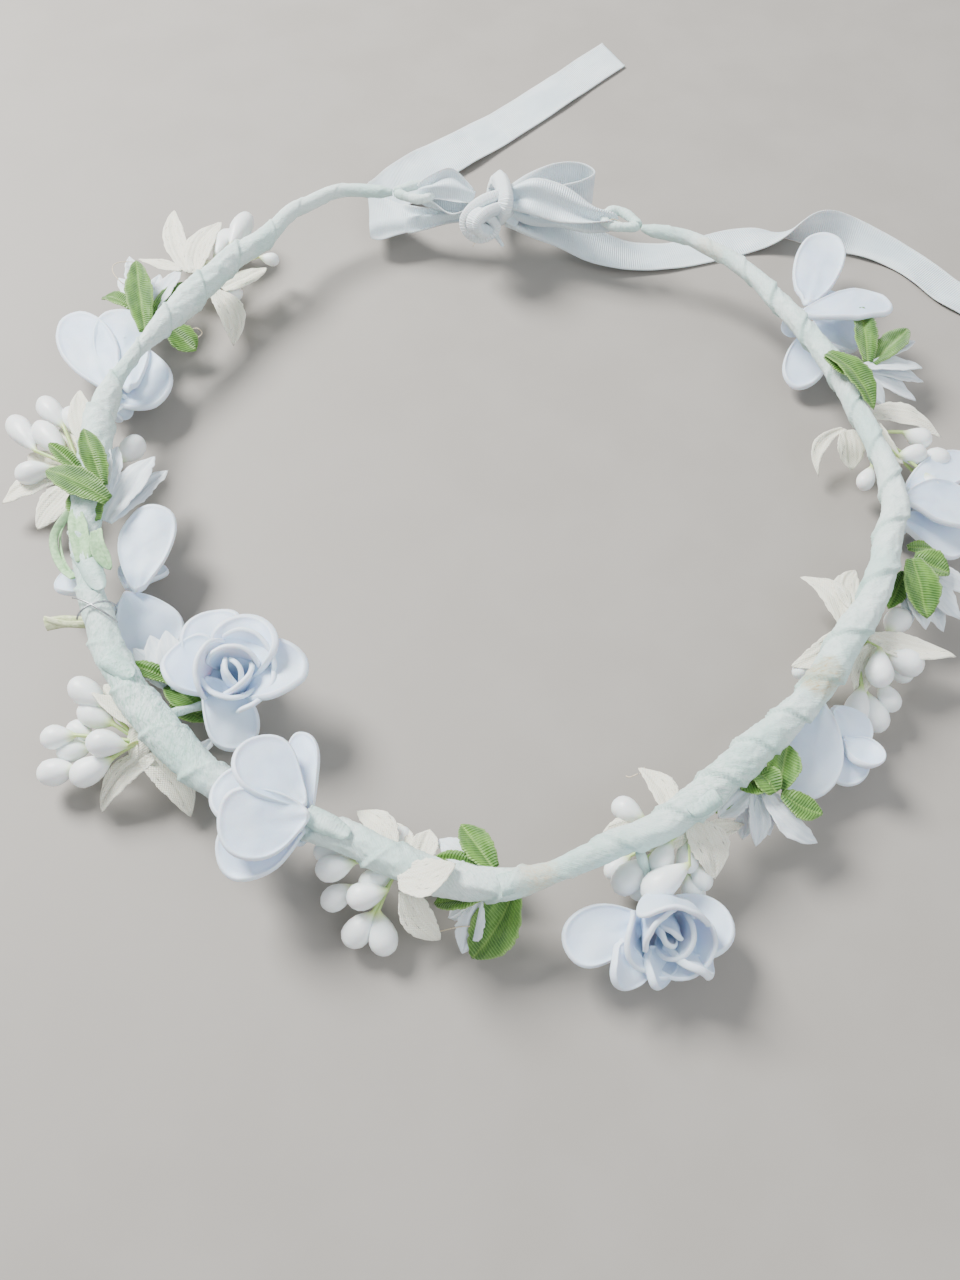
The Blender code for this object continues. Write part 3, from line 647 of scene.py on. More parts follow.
def wound_tape(station, turn, lap=0.00065):
    """How far out the tape's surface is, and how much painted shade it gets in a lap or crease:
    each turn laps over the last one with a slanting edge, and the paper is puckered into sharp
    creases."""
    radius = eased(TAPE_BUILD, station) * MM
    drift = 0.7 * noise.noise(Vector((station * 0.018, 0, 4)))
    phase = (station / WRAP + drift + turn / math.tau * (1 if station > 12 else -1)) % 1.0
    edge = min(phase / 0.05, 1.0)
    lap *= min(1.0, (radius / FULL_TAPE) ** 2)
    depth = min(1.0, (radius / FULL_TAPE) ** 3)
    step = lap * (1 - phase) * edge + lap * 0.4 * math.exp(-((phase - 0.07) / 0.035) ** 2)
    skew = turn + station * 0.09
    around = Vector((math.cos(turn), math.sin(turn), 0)) * 1.1
    slant = Vector((math.cos(skew), math.sin(skew), 0)) * 1.5
    lumps = noise.noise(Vector((around.x, around.y, station * 0.13)))
    crease = abs(noise.noise(Vector((slant.x, slant.y, station * 0.20)))) ** 0.7
    pucker = abs(noise.noise(Vector((slant.x * 2.6, slant.y * 2.6, station * 0.42 + 7)))) ** 0.8
    crinkle = noise.noise(Vector((around.x * 6, around.y * 6, station * 1.7)))
    reach = radius * (0.94 + 0.09 * lumps) + step - (CREASES * crease + PUCKERS * pucker) * depth
    # painted shade: darkest just past each lap edge and along the creases and puckers, deeper
    # where the tape is thick
    shade = math.exp(-phase / 0.07) * 0.9
    shade += max(0.0, 0.16 - crease) * 3.5 + max(0.0, 0.14 - pucker) * 2.5
    taper = min(1.0, 0.5 + min(station - LEFT_END, RIGHT_END - station) / 6)
    taper *= eased(TAPE_PULL, station)
    return (reach + CRINKLES * crinkle - lap * 0.25 + 0.0002) * taper, min(1.0, shade * depth)


def wind_tape(material):
    """The wound crepe over the whole length of the wire."""
    piece = Piece()
    rings, marks, shades = [], [], []
    count = int((RIGHT_END - LEFT_END) / TAPE_STEP)
    for i in range(count + 1):
        station = LEFT_END + (RIGHT_END - LEFT_END) * i / count
        point, _, outward = hoop_at(station)
        ring, mark, dark = [], [], []
        for j in range(TAPE_SIDES + 1):
            turn = math.tau * j / TAPE_SIDES
            reach, shade = wound_tape(station, turn)
            if j < TAPE_SIDES:
                ring.append(point + outward * reach * math.cos(turn) + UP * reach * math.sin(turn))
                dark.append(shade)
            mark.append((turn * reach / MM, station + turn * 3.0))
        rings.append(ring)
        marks.append(mark)
        shades.append(dark)
    # the painted shade of the laps and creases rides in the edge mark
    piece.loft(rings, marks, shades)
    piece.done("hoop_crepe_tape", material, "hoop", "tape", "hoop_tape", "core_wire")


EYELET_WIRE, EYELET_INSET = 0.00125, 0.0011          # radius, middle inside its room
EYELET_NARROW, EYELET_POINTED = 0.62, 0.45           # its width, and how much of a teardrop it is
EYELET_STEPS, EYELET_GAP = 72, 6     # the gap is in degrees, each side of where the loop closes


def bend_eyelets(material):
    """Each wire end bent back on itself into a taped teardrop loop."""
    for name, station, sign in (("eyelet_left", LEFT_END, -1), ("eyelet_right", RIGHT_END, 1)):
        low, high = (Vector(corner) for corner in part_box(name))
        middle = (low + high) / 2
        radius = (high.x - low.x) / 2 - EYELET_INSET
        _, ahead, outward = hoop_at(station)
        piece = Piece()
        path, radii = [], []
        for i in range(EYELET_STEPS + 1):
            turn = math.radians(EYELET_GAP + (360 - 2 * EYELET_GAP) * i / EYELET_STEPS)
            narrow = EYELET_NARROW * (1 - EYELET_POINTED * math.cos(turn))
            path.append(middle - ahead * sign * radius * math.cos(turn)
                        + outward * radius * narrow * math.sin(turn))
            radii.append(EYELET_WIRE + 0.00008 * math.sin(i * 0.5) + 0.00003 * math.sin(i * 1.7))
        rod(piece, path, radii, sides=16, ridge=0.04)
        piece.done(name + "_loop", material, "hoop", "tape", name)


# The middle of each flower in mm, then its petals: foot and tip from that middle in mm, width in
# mm, and where they aren't 0 the roll and cup in degrees, bow, curl, twist in degrees, and sway.
# A star's second rows are its buds, foot and tip; a blossom's rows are its leaves, then petals.
ROSES = {
    "rose_1": ((-90, 26.1, 12), (
        (-0.3, 0.3, 0, -16.4, 28.5, -1, 16, 0, 22, -0.02),
        (3.1, 2, -1.5, -4.9, 29.9, -1, 18, 4, 10, -0.02),
        (-1.4, 20.7, -2, 7.8, -1.1, -4, 18.5, 0, 14, -0.02),
        (-1.4, 8, -5, -12.3, 22.9, -9, 13, 0, -20, 0.05),
        (-1.1, 6.6, -5, 1.1, 13.8, -9, 12, 0, -20, 0.05),
    )),
    "rose_2": ((-77.6, -30.4, 11), (
        (1.3, 0.9, -1, 2.7, 22.6, 2, 15.5, 0, -34, 0.03),
        (-1.7, 1.8, -2, 8.4, -12.2, -6, 17.5, 0, -34, 0.05),
        (-9.2, 2.9, -3, -18, 5.7, -4, 7, 0, 60, 0.1),
        (-1.7, 3.6, -4, 0.4, 14.3, -8, 13, 0, -20, 0.05),
        (-2.7, 1.5, -4, 0, -4.8, -8, 12, 0, -20, 0.05),
    )),
    "rose_3": ((-53.3, -52, 8.5), (
        (-1, -2, 1.5, -12.2, 5.5, 6.5, 17, 10, 62, 0.1),
        (-1.2, 0.8, 0.5, -5.7, 15.5, 5.5, 17, 0, 52, 0.12),
        (1.6, -0.2, 1.5, 7, 11, 10.5, 18, 0, 86, 0.16),
        (1.4, -2, 1.5, 16.9, 1.7, 7.5, 17, -4, 74, 0.14),
        (-3.8, -0.5, 6.5, 4.8, -13.7, 0.5, 13, 0, 30, 0.04),
    )),
    "rose_4": ((-32.9, -84.4, 20), (
        (0.3, -0.2, 2, -16, -3.2, 3, 17, -16, 16, -0.02),
        (-0.9, -1, -2, -17, -7.2, -4, 15, -8, 24, 0.06),
        (-0.7, 1.7, 1, -13.2, 12.3, 5, 14, 12, 30, 0.02),
        (-1.2, 1.7, -2, -19.2, 5.7, -1, 14, 0, 30, 0.02),
        (-0.1, 1.3, -1, -3.9, 18.2, -2, 7.5, 0, 40, 0.03),
        (-1.4, 0.1, -5, -17.2, -0.4, -9, 12, 0, 0, 0.02),
    )),
    "rose_5": ((31.9, -98.7, 8.5), (
        (-2.8, -1.5, 0.5, -18.7, -6.5, 1.5, 13.5, -10, 14, 0.03),
        (-3.9, 0.2, -1.5, 13, -4.3, 0, 14.5, -8, 8, 0.05),
        (-8.2, -5.6, 3.5, -7.4, -14.2, 0.5, 10, -30, 40, 0.06),
        (-0.6, -6.4, 2.5, 8.5, -10.7, -0.5, 12, -40, 40, 0.08),
        (-3.3, -6.5, 1.5, -0.4, -12.7, -2.5, 11, -36, 50, 0.08),
    )),
    "rose_6": ((66, -58.3, 13), (
        (1, 1.3, 0, -4, -16.7, -8, 15.5, 0, -44, 0.06),
        (3.5, 1, -2, 10.5, -6.5, -6, 10, 10, -30, 0.05),
        (5.1, -5.2, -4, 12.1, -10.9, -4, 8, 0, 70, 0, 0.14),
        (2.8, -1.2, -5, 7.7, -13.7, -8, 12, 0, -20, 0.04),
        (2.8, 1.1, -5, 7.5, -6.5, -10, 10, 0, -20, 0.05),
    )),
    "rose_7": ((92.7, -6.7, 12), (
        (-0.1, 0.1, 1, 18.8, 0.9, -3, 16, 0, 16, 0.03),
        (2.2, 3.9, -1, 21.8, 16.3, -4, 12, 0, 20, 0.03),
        (1, -1.4, -3, 15.5, -8.3, -7, 14, 0, 20, 0.03),
        (3.3, 2.4, -5, 18.8, 8.9, -9, 12, 0, 0, 0.03),
    )),
    "rose_8": ((79.3, 54.8, 13), (
        (1.5, 0, 0, 12.1, 28.6, -1, 16, 0, 24, -0.03),
        (-1, -4.6, 1, 23.3, 1.1, 0, 16, -12, 26, 0.03),
        (3.9, -1.4, -4, 16.2, -6.8, -7, 13, 0, 20, 0.03),
        (5.2, -1.1, -5, -1.6, -19.7, -9, 12, 0, 24, 0.02),
        (5.2, 3.2, -6, 16.9, 13.1, -10, 13, 0, 0, 0.03),
    )),
}
STARS = {
    "star_1": ((-75.4, 67, 11), (
        (-2.8, 3.8, -1, -12.3, 33.5, -5, 6.4, 0, 20, 0.03, 0, 0, -0.06),
        (-1.7, 3, -1, 2.1, 27.2, -4, 7.6, 0, 24, 0.04, 0, 0, -0.08),
        (-5.1, 4.5, -1, -17.8, 9.9, -2, 3.6, 0, 20, 0.02),
        (6, -1.1, -2, 16.4, 8.8, -4, 6.2, 0, 20, 0.04, 0, 0, 0.06),
        (3.5, -1.9, -2, 9.4, -15.9, -8, 7.2, 0, 22, 0.05, 0, 0, -0.16),
        (-0.4, 3.4, -2, 6, 10, -3, 7, 0, 30, 0.05),
    ), (
        (6.5, 13.8, -1, 9.9, 27.6, -2), (14.4, 10.7, -2, 19.7, 10.3, -3),
        (5.8, -3.4, -4, 10.1, 1.5, -5), (7.6, 13.5, -4, 13.3, 23.1, -6),
        (2.2, 10.7, -3, 5, 24.3, -5),
    )),
    "star_2": ((-93.8, 3, 11), (
        (-7.1, -0.2, -2, -19.2, -5.4, -5, 6.6, 0, 20, 0.03, 0, 0, 0.1),
        (-1.6, -2.5, -2, -10, -12.1, -6, 8.2, 0, 24, 0.05, 0, 0, 0.05),
        (1.9, 5.5, 2, -4.2, 23.4, 2, 6, 0, 40, 0.04, 0, 0, -0.05),
        (-3.2, 1, -2, -16.8, 10, -6, 7, 0, 30, 0.05),
        (-0.3, 2.6, -1, -10.3, 17.6, -5, 6, 0, 30, 0.05),
    ), (
        (-7.3, 14.4, -1, -14.9, 23.9, -2), (-12.5, 7.1, -1, -21.5, 19, -3),
        (-4.1, 3.9, 1, -13.6, 14.5, 0), (-3.3, 12.3, -1, -7.9, 21.6, -3),
        (-6.7, 1.2, 0, -16.1, 0.4, -2), (6.9, 4.6, -2, 11.1, 12.5, -3),
    )),
    "star_3": ((-69.5, -65.3, 11), (
        (0.7, 2.2, 1, -10.8, 9.6, 3, 4.6, 30, 40, 0.04),
        (0.6, 4, 0, -9.9, 13.5, -1, 6, 0, 24, 0.04),
        (2.5, -2.6, -1, -8.1, -11.7, -8, 6.2, 0, 20, 0.06, 0, 0, 0.12),
        (0.9, -2.6, -1, 10, -12.7, -8, 6.8, 0, 20, 0.06, 0, 0, -0.12),
        (0.7, 3.4, 3, -1, -3.9, -3, 5.6, 0, -60, 0.06),
    ), (
        (-7.8, 7.5, 1, -15.9, 13, 1), (-6.2, 4.4, -1, -14.2, 8.8, -2), (-13.4, 2, -1, -21, 2, -3),
        (-10.9, 2.3, -3, -16.7, 5.9, -5), (-10.5, 0.3, -3, -18.2, 0.1, -5),
        (-1.5, -1.8, 2, -10, -0.5, 2), (-12.9, -4.3, -3, -21.3, -4.3, -6),
        (-5.3, -3, -1, -13.4, -7.1, -3),
    )),
    "star_4": ((-17.2, -91, 11), (
        (-0.8, 3.1, 1, -8.6, 12, -2, 5.6, 0, 22, 0.08, 0, 0, 0.1),
        (1, 2.3, -1, -1.8, 10.5, -4, 6, 0, 24, 0.04), (4, 1.5, -1, 5.7, 8.7, -3, 5.4, 0, 50, 0.06),
        (2.1, -2.5, 2, -10.9, 2.8, 1, 3.6, 20, 30, 0.05),
        (0.7, -4.8, 7, 11.1, -2.3, 9.5, 8.6, -24, 34, 0.08, 0, 0, 0.2),
        (1.3, -4.1, 1, 8, -11.6, -7, 6.2, 0, 24, 0.05, 0, 0, 0.1),
    ), (
        (-7.7, 0.5, 2, -15.3, -0.8, 0), (-8.9, 3.8, -1, -16.4, 4.1, -3),
        (-0.6, -0.7, 1, -7.1, -3.2, -2), (-7.9, -2.8, -2, -14.4, -5.7, -5),
        (-1.6, -4.5, 1, -9.3, -5.8, -1), (-4.4, -7.4, -3, -9.6, -12.3, -8),
        (-3.6, -7.2, -3, -2.2, -14.3, -8), (-0.3, 3.8, -2, 0.5, 9.3, -4),
    )),
    "star_5": ((38, -82.4, 10), (
        (-3.4, 2, 1, -8.2, 13.3, -3, 5.4, 0, 30, 0.04, 0, 0, 0.14),
        (0.2, -0.3, 3, 4.4, -10.1, -1, 8.6, -10, 34, 0.06, 0, 0, -0.1),
        (0.1, -1.1, 3, -9.9, -4.4, 0, 6, -10, 30, 0.05),
        (-7.1, 1.2, -1, -16.1, -0.2, -4, 5, 0, 20, 0.03),
        (3, -0.8, 0, 11.8, 1.5, -3, 3.8, 0, 30, -0.06),
    ), (
        (-7.8, 1.6, -1, -13.7, 5.9, -3), (-8.3, -6.7, 1, -14.6, -12.4, -2),
        (-3.9, -3.9, 3, -7.3, -9.9, 1), (-1.4, -3.1, 2, -0.3, -9.1, -1),
        (-1.4, -9.1, 5, -9.9, -14.3, 1), (0.4, -7.1, 0, 3.2, -11.6, -3),
        (-7.2, -7.2, -2, -10.5, -12.6, -6), (-0.9, -8.4, -2, 1.6, -14, -6),
        (-11.2, -5.3, -2, -15.8, -8.9, -4),
    )),
    "star_6": ((76.4, -40.8, 11), (
        (-0.9, 3, -1, -7.6, 16.8, -3, 6.4, 0, 26, 0.09, 0, 0, 0.16),
        (2.6, 5.4, 0, 5, 18.7, -3, 6.2, 0, 26, 0.05, 0, 0, -0.18),
        (-1.5, 1.6, -1, -12.6, -5.2, -4, 6.2, 0, 26, 0.09, 0, 0, -0.16),
        (2.9, -1.1, 1, 22.5, -3.4, -3, 6.4, 0, 18, 0.04, 0, 40, 0.04),
        (4.8, -2, 1, 0.5, -13.5, -4, 5.6, 0, 34, 0.05, 0, 0, 0.1),
    ), (
        (6.4, -3.9, 0, 14.5, -6.5, -3), (4.5, -4, 2, 3.6, -12.3, 0),
        (0.8, -10.8, -2, -1.2, -18.1, -5), (4.7, -9.9, -2, 8, -15.3, -5),
        (2.2, -11.2, -4, 4.8, -19.2, -7), (-8.4, -5.1, -3, -11.8, -6.3, -6),
        (7.3, -4, -4, 13.8, -6.3, -7), (8.6, 1.7, -2, 14, 8.4, -4),
    )),
    "star_7": ((89.8, 14.4, 11), (
        (-4.9, 2.7, -1, -10.8, -7.3, -7, 3.6, 0, 60, 0.02, 0, 0, 0.24),
        (-4.1, 2.1, -1, -3, -6, -6, 7, 0, 50, 0.08),
        (0.2, 5.3, 1, 18.9, 1.4, -3, 6.6, 0, 34, 0.06, 0, 0, -0.12),
        (-0.4, 3.8, 2, 6.7, -9, 0, 5, 0, 150, 0.05, 0, 0, 0.12),
        (1.6, -0.1, -2, 7.9, -6.8, -5, 7, 0, 30, 0.04),
    ), (
        (8.4, 0.6, 0, 15.5, -0.7, -2), (5.3, -7.5, 1, 12.5, -5.8, 0),
        (10.5, -7.9, -1, 19, -4.8, -3), (10.9, -11.4, 0, 12.8, -17, -1),
        (0.6, -7.2, -3, -2.1, -12.7, -5), (9.8, -8.4, -3, 17.1, -7.8, -6),
    )),
}
BLOSSOMS = {
    "blossom_1": ((-85.4, 52.4, 12), (
        (-0.4, -5.6, 0, -5.5, 17.1, 3, 7, 0, 30, 0.05),
        (-4.9, 3.6, -1, -15.2, 10.5, -4, 4.6, 0, 60, 0.14),
        (-0.1, -1.1, -1, 5.7, 15.7, -3, 5, 20, 50, 0.05),
        (3.9, -0.4, -3, 10.7, -5.1, -7, 7.6, 0, 20, 0.05),
    ), (
        (-3.4, 5.7, 0, -8.5, 21, 1, 4.4), (-0.5, 1.8, -1, 4.5, 20.7, -3, 5),
        (-0.7, 2.5, -1, -1.5, 19.9, -4, 4.4), (-2.4, 3.9, -3, -13.4, 20.7, -6, 4.4),
        (-0.7, 2.5, -3, 3.3, 12.3, -6, 4.4),
    )),
    "blossom_2": ((-84.2, -11.9, 17), (
        (-0.4, 4.5, 2, -6.4, 18.5, 5, 5.6, 10, 60, 0.06),
        (-6.3, 9, 2, -14.4, 15.8, 3, 3.8, 0, 60, 0.06),
        (1.4, 0.7, 2, -13, 7.3, 4, 7.2, 0, 44, 0.1), (-1.5, -3.8, 0, -7.3, 6.1, 0, 8, 0, 30, 0.04),
    ), (
        (0.1, -1.8, -2, 7, 18.8, -5, 7.4), (-0.2, -0.8, -4, 9.9, 16.3, -7, 6.4),
        (-1.3, 3.7, -2, -1.7, 20.9, -4, 5.4), (-0.8, 2.2, 0, -4.3, 21, -2, 5),
        (-1.2, 0.4, -5, 3.4, 12.6, -9, 6),
    )),
    "blossom_3": ((-66, -53.1, 10), (
        (1.2, 1.8, 1, -8.5, 4.7, 3, 3.8, 0, 50, 0.04), (-1.1, 3.7, 1, 4.6, 0.9, 1, 5, 0, 60, 0.06),
        (-0.2, 1.4, 0, 7.4, -4.5, -1, 6.6, 0, 60, 0.1),
        (0.6, -1.8, -2, 7.9, -5.8, -3, 4.4, 0, 50, 0.06),
    ), (
        (0.1, 0.5, -1, -8.8, 9.9, 0, 5), (0.5, 0.5, -1, -5.7, 13.1, 0, 6),
        (2.1, 0, 0, -2.2, 13.7, 1, 6), (2.2, 1, -2, -0.7, 13, -2, 5),
        (6.9, -13.8, -3, 9.7, -9, -4, 2.6),
    )),
    "blossom_4": ((1.8, -94.7, 13), (
        (-1.1, 3.3, -1, -7.3, 12.7, -3, 6, 0, 30, 0.05),
        (-4, 4.2, -2, -12.4, 6.1, -3, 4, 0, 30, 0.04),
        (2.6, -0.5, -2, -5.2, -11.4, -9, 9.4, 0, 34, 0.06, 0, 0, -0.06),
        (-2.9, -1.9, -1, -12.3, -2.1, -5, 5, 0, 60, 0.08),
    ), (
        (-4, 4.1, -2, -11.8, 10.2, -5, 5), (-3.7, -2.1, -3, -7, -10.3, -10, 5.4),
        (-2.9, -1, -4, -9.8, -3.5, -10, 5), (-0.3, -0.8, -5, -3.3, -7.4, -11, 5),
    )),
    "blossom_5": ((50.7, -74.2, 13), (
        (4.5, -2.1, 1, 7.4, 6.7, 2, 7, 0, 80, 0.06), (3.7, -3.3, 2, 0.7, 1.6, 2, 6, 0, 70, 0.1),
        (5.1, -3.1, 1, 13.3, -6.2, -2, 5.2, 0, 26, 0.05, 0, 0, 0.08),
        (-0.6, 1.2, -2, -6.6, -5, -5, 3.6, 0, 40, 0.04),
        (2.7, 0.8, 2, -2.8, -2.5, 1, 6, 0, 60, 0.08),
    ), (
        (2, -2.5, 0, 12.7, -10.6, -6, 5, 0, 44, 0.1, 0, 0, 0.14),
        (0.1, -1.2, -1, -6.3, -5.9, -5, 5),
        (0.3, -2.1, -1, 0.9, -11, -7, 4.4, 0, 44, 0.1, 0, 0, -0.06),
        (1.9, -2.1, -1, 3.9, -8.8, -7, 4.2, 0, 40, 0.1, 0, 0, 0.08),
        (0.6, -0.9, -3, -1.1, -8.9, -9, 5), (2.8, -1.3, -3, 8, -5.6, -9, 5),
    )),
    "blossom_6": ((89.5, -24.5, 13), (
        (1.8, 0.7, 2, 3.6, -12.2, -2, 8, 0, 50, 0.06),
        (2.5, 1.4, 1, 10.5, -1.4, -1, 7, 0, 60, 0.1),
        (1, -0.9, -1, -3.3, -8.5, -4, 4.8, 0, 40, 0.04),
        (2.2, 4.7, 0, 8.9, 5.6, -2, 4, 0, 50, 0.05),
    ), (
        (1.9, -3, -1, 4.3, -13.1, -5, 5.6), (3.2, -0.9, -1, 12.6, -10, -6, 6),
        (4, 0.7, -1, 16.8, -3.4, -6, 6), (0.9, -3.3, -2, 0.9, -12.5, -6, 3.6),
        (3.5, -0.6, -3, 10, -11.3, -9, 5.4),
    )),
    "blossom_7": ((92.1, 36.5, 12), (
        (1.5, 0, 0, 1.7, 16.1, 3, 6, 0, 40, 0.05), (2.5, 0, 0, 13.8, 11.3, 0, 6.4, 0, 30, 0.05),
        (-12.1, -6.3, 9.6, -2.4, -20.1, 5, 6.4, 0, 40, 0.12, 0, 0, -0.06),
        (-12.4, -6.3, 9, -5.6, -11.4, 7, 5, 20, 60, 0.08),
    ), (
        (1.5, 1, -1, 16.3, 9.8, -3, 4.2), (0.3, -1.3, 0, 16.8, 1.9, -4, 5),
        (1.5, -0.7, -2, 17.2, -0.9, -6, 4.6), (0.9, -1.4, -2, 14.5, -6.3, -7, 5.4),
        (-1.2, -4, 0, 5.2, -9.7, -5, 5.4), (1.5, 1.2, -4, 11.8, -0.7, -9, 5),
    )),
}


def place(hub, offset):
    """A point given in mm from the middle of a flower."""
    return (Vector(hub) + Vector(offset)) * MM


def lay_of(hub, row):
    """How the petal in one row of the tables lies."""
    return Lay(place(hub, row[:3]), place(hub, row[3:6]), row[6] * MM, *row[7:])


# the rolled heart of a rose, from the middle out: degrees round its axis (0 towards the front,
# 90 to the right), radius at the foot in mm, height, width, wrap in degrees, lean outward in
# degrees, curl of the lip
SHUT_HEART = (
    (20, 0.3, 8.6, 7.5, 300, 2, 0), (140, 1.5, 9.4, 11.5, 215, 7, 0),
    (-60, 2.1, 9.0, 13.0, 190, 12, 0), (60, 2.9, 9.2, 15.0, 150, 19, 0),
    (-170, 3.2, 8.8, 15.0, 140, 24, 0),
)
OPEN_HEART = (
    (-60, 0.5, 8.9, 6.5, 150, 2, 0), (125, 0.6, 8.7, 6.0, 140, 2, 0),
    (60, 1.5, 8.8, 8.5, 120, 6, -0.03), (-6, 2.1, 8.0, 11.5, 110, 9, -0.14),
    (178, 1.9, 9.6, 10.5, 120, 8, 0), (-100, 2.6, 9.4, 13.0, 105, 15, -0.05),
    (66, 2.9, 8.8, 13.0, 105, 21, -0.06), (145, 3.1, 9.9, 13.5, 105, 18, -0.04),
)
FACED_HEART = (
    (-40, 0.6, 8.0, 6.0, 160, 3, 0), (140, 0.6, 8.0, 6.0, 150, 3, 0),
    (55, 1.5, 8.6, 9.5, 130, 8, -0.03), (-115, 1.8, 9.0, 10.5, 130, 10, -0.05),
    (172, 2.6, 9.4, 14.0, 115, 12, -0.10), (-62, 2.9, 8.8, 10.5, 105, 22, -0.04),
    (-12, 3.0, 8.4, 8.0, 90, 24, -0.04), (42, 2.9, 9.0, 12.5, 105, 23, -0.04),
)
# axis of each heart, its size, its foot from the middle of the flower in mm, its petals
HEARTS = {
    "rose_1": ((-0.09, 0.30, -0.95), 0.55, (0, 0, -3.0), SHUT_HEART),
    "rose_2": ((0.30, -0.25, -0.93), 0.45, (1.5, -2.5, -3.4), SHUT_HEART),
    "rose_3": ((0.18, -0.18, 0.97), 1.32, (0.4, 0.6, 0.4), OPEN_HEART),
    "rose_4": ((-0.90, 0.38, -0.12), 0.72, (-2.0, 0, -9.5), SHUT_HEART),
    "rose_5": ((0.06, -0.72, 0.69), 1.3, (-0.4, 0.5, 0), FACED_HEART),
    "rose_6": ((0.20, -0.45, -0.87), 0.5, (0, -2.0, -3.5), SHUT_HEART),
    "rose_7": ((0.64, -0.06, -0.77), 0.58, (0, 0, -3.0), SHUT_HEART),
    "rose_8": ((0.23, 0.15, -0.96), 0.55, (0, 0, -3.0), SHUT_HEART),
}


def roll_heart(piece, hub, axis, size, petals):
    """Foam petals rolled round each other, opening along the axis."""
    axis = axis.normalized()
    front = Vector((0, -1, 0))
    front = (front - axis * front.dot(axis)).normalized()
    for azimuth, radius, height, width, wrap, lean, curl in petals:
        out = Matrix.Rotation(math.radians(azimuth), 3, axis) @ front
        foot = hub + out * radius * MM * size
        rise = axis * math.cos(math.radians(lean)) + out * math.sin(math.radians(lean))
        lay = Lay(foot, foot + rise * height * MM * size, width * MM * size, 0, wrap, -0.05, curl)
        lay.face = (-out + rise * out.dot(rise)).normalized()
        lay.side = lay.ahead.cross(lay.face)
        foam_petal(piece, lay, 0.00064, 0.5, 0.0002, 40, 0.0005)


STEM = 0.0009                # radius of a taped stem


def wrap_stem(name, tape, body):
    """The stem of a rose that stands clear of the hoop: its higher end is at the hoop."""
    low, high = (Vector(corner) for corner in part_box(name + "_stem"))
    near, far = (low.y, high.y) if body == "inner_rose" else (high.y, low.y)
    start, end = Vector((low.x, near, high.z)), Vector((high.x, far, low.z))
    path = [start.lerp(end, i / 10) - UP * STEM * math.sin(math.pi * i / 10) for i in range(11)]
    stem = Piece()
    rod(stem, path, [STEM + 0.00012 * math.sin(i * 1.7) for i in range(11)], sides=12)
    stem.done(name + "_taped_stem", tape, body, "tape", name + "_stem")


BENDING_ROSES = {"rose_3": "inner_rose", "rose_5": "front_rose"}


def build_roses(foam, tape):
    for name, (hub, petals) in ROSES.items():
        body = BENDING_ROSES.get(name, "hoop")
        outer = Piece()
        for row in petals:
            foam_petal(outer, lay_of(hub, row))
        outer.done(name + "_outer_petals", foam, body, "foam", name + "_petals")
        axis, size, shift, rolled = HEARTS[name]
        heart = Piece()
        roll_heart(heart, place(hub, shift), Vector(axis), size, rolled)
        heart.done(name + "_rolled_heart", foam, body, "foam", name + "_heart")
        if body != "hoop":
            wrap_stem(name, tape, body)


STALK, STALK_STEPS, FATTEST_BUD = 0.00042, 6, 0.0028         # radius, steps, radius
# share of a bud's length, share of its full radius
BUD_SHAPE = ((0.0, 0.16), (0.08, 0.26), (0.2, 0.52), (0.36, 0.80), (0.52, 0.97), (0.66, 1.0),
             (0.8, 0.90), (0.9, 0.68), (0.97, 0.36), (1.0, 0.0))


def bud(piece, foot, tip, hub):
    """A bud swollen towards its tip, on a thin stalk from the middle of the bunch."""
    line = tip - foot
    length = line.length
    stalk = [hub.lerp(foot, i / STALK_STEPS) + UP * 0.0004 * math.sin(math.pi * i / STALK_STEPS)
             for i in range(STALK_STEPS)]
    wide = min(length * 0.31, FATTEST_BUD) + 0.0001
    path = stalk + [foot + line * share for share, _ in BUD_SHAPE]
    sides, rings, marks = 16, [], []
    side = line.orthogonal().normalized()
    over = line.normalized().cross(side)
    run = -(foot - hub).length / MM
    for i, point in enumerate(path):
        if i < len(stalk):
            radius = STALK
            along = run * (1 - i / STALK_STEPS) - 0.8
        else:
            share, swell = BUD_SHAPE[i - len(stalk)]
            radius = wide * swell
            along = share * length / MM
        ring, mark = [], []
        for j in range(sides + 1):
            turn = math.tau * j / sides
            reach = radius * (1 + wobble(point + side * math.cos(turn) * 0.003
                                         + over * math.sin(turn) * 0.003, 300, 0.10))
            if j < sides:
                ring.append(point + side * reach * math.cos(turn) + over * reach * math.sin(turn))
            mark.append((turn * radius / MM, along))
        if radius == 0:
            ring, mark = [point], [(0, along)]
        rings.append(ring)
        marks.append(mark)
    piece.loft(rings, marks)


NARROW_PETAL = 5             # mm; a star's petals under this width are pointed and flatter


def build_stars(linen, pearl):
    for name, (hub, petals, buds) in STARS.items():
        star = Piece()
        for row in petals:
            narrow = row[6] < NARROW_PETAL
            blade(star, lay_of(hub, row), fullest=0.42, foot=0.42, blunt=0.0 if narrow else 0.35,
                  rib=0.0002 if narrow else 0.0004, fray=0.04)
        star.done(name + "_linen_petals", linen, "hoop", "linen", name + "_petals")
        bunch = Piece()
        for row in buds:
            bud(bunch, place(hub, row[:3]), place(hub, row[3:]), place(hub, (0, 0, 0)))
        bunch.done(name + "_bud_bunch", pearl, "hoop", "bud", name + "_buds")


COTTON_BENDS = (0, 30, 0.06)         # roll, cup and bow of a cotton petal with none of its own


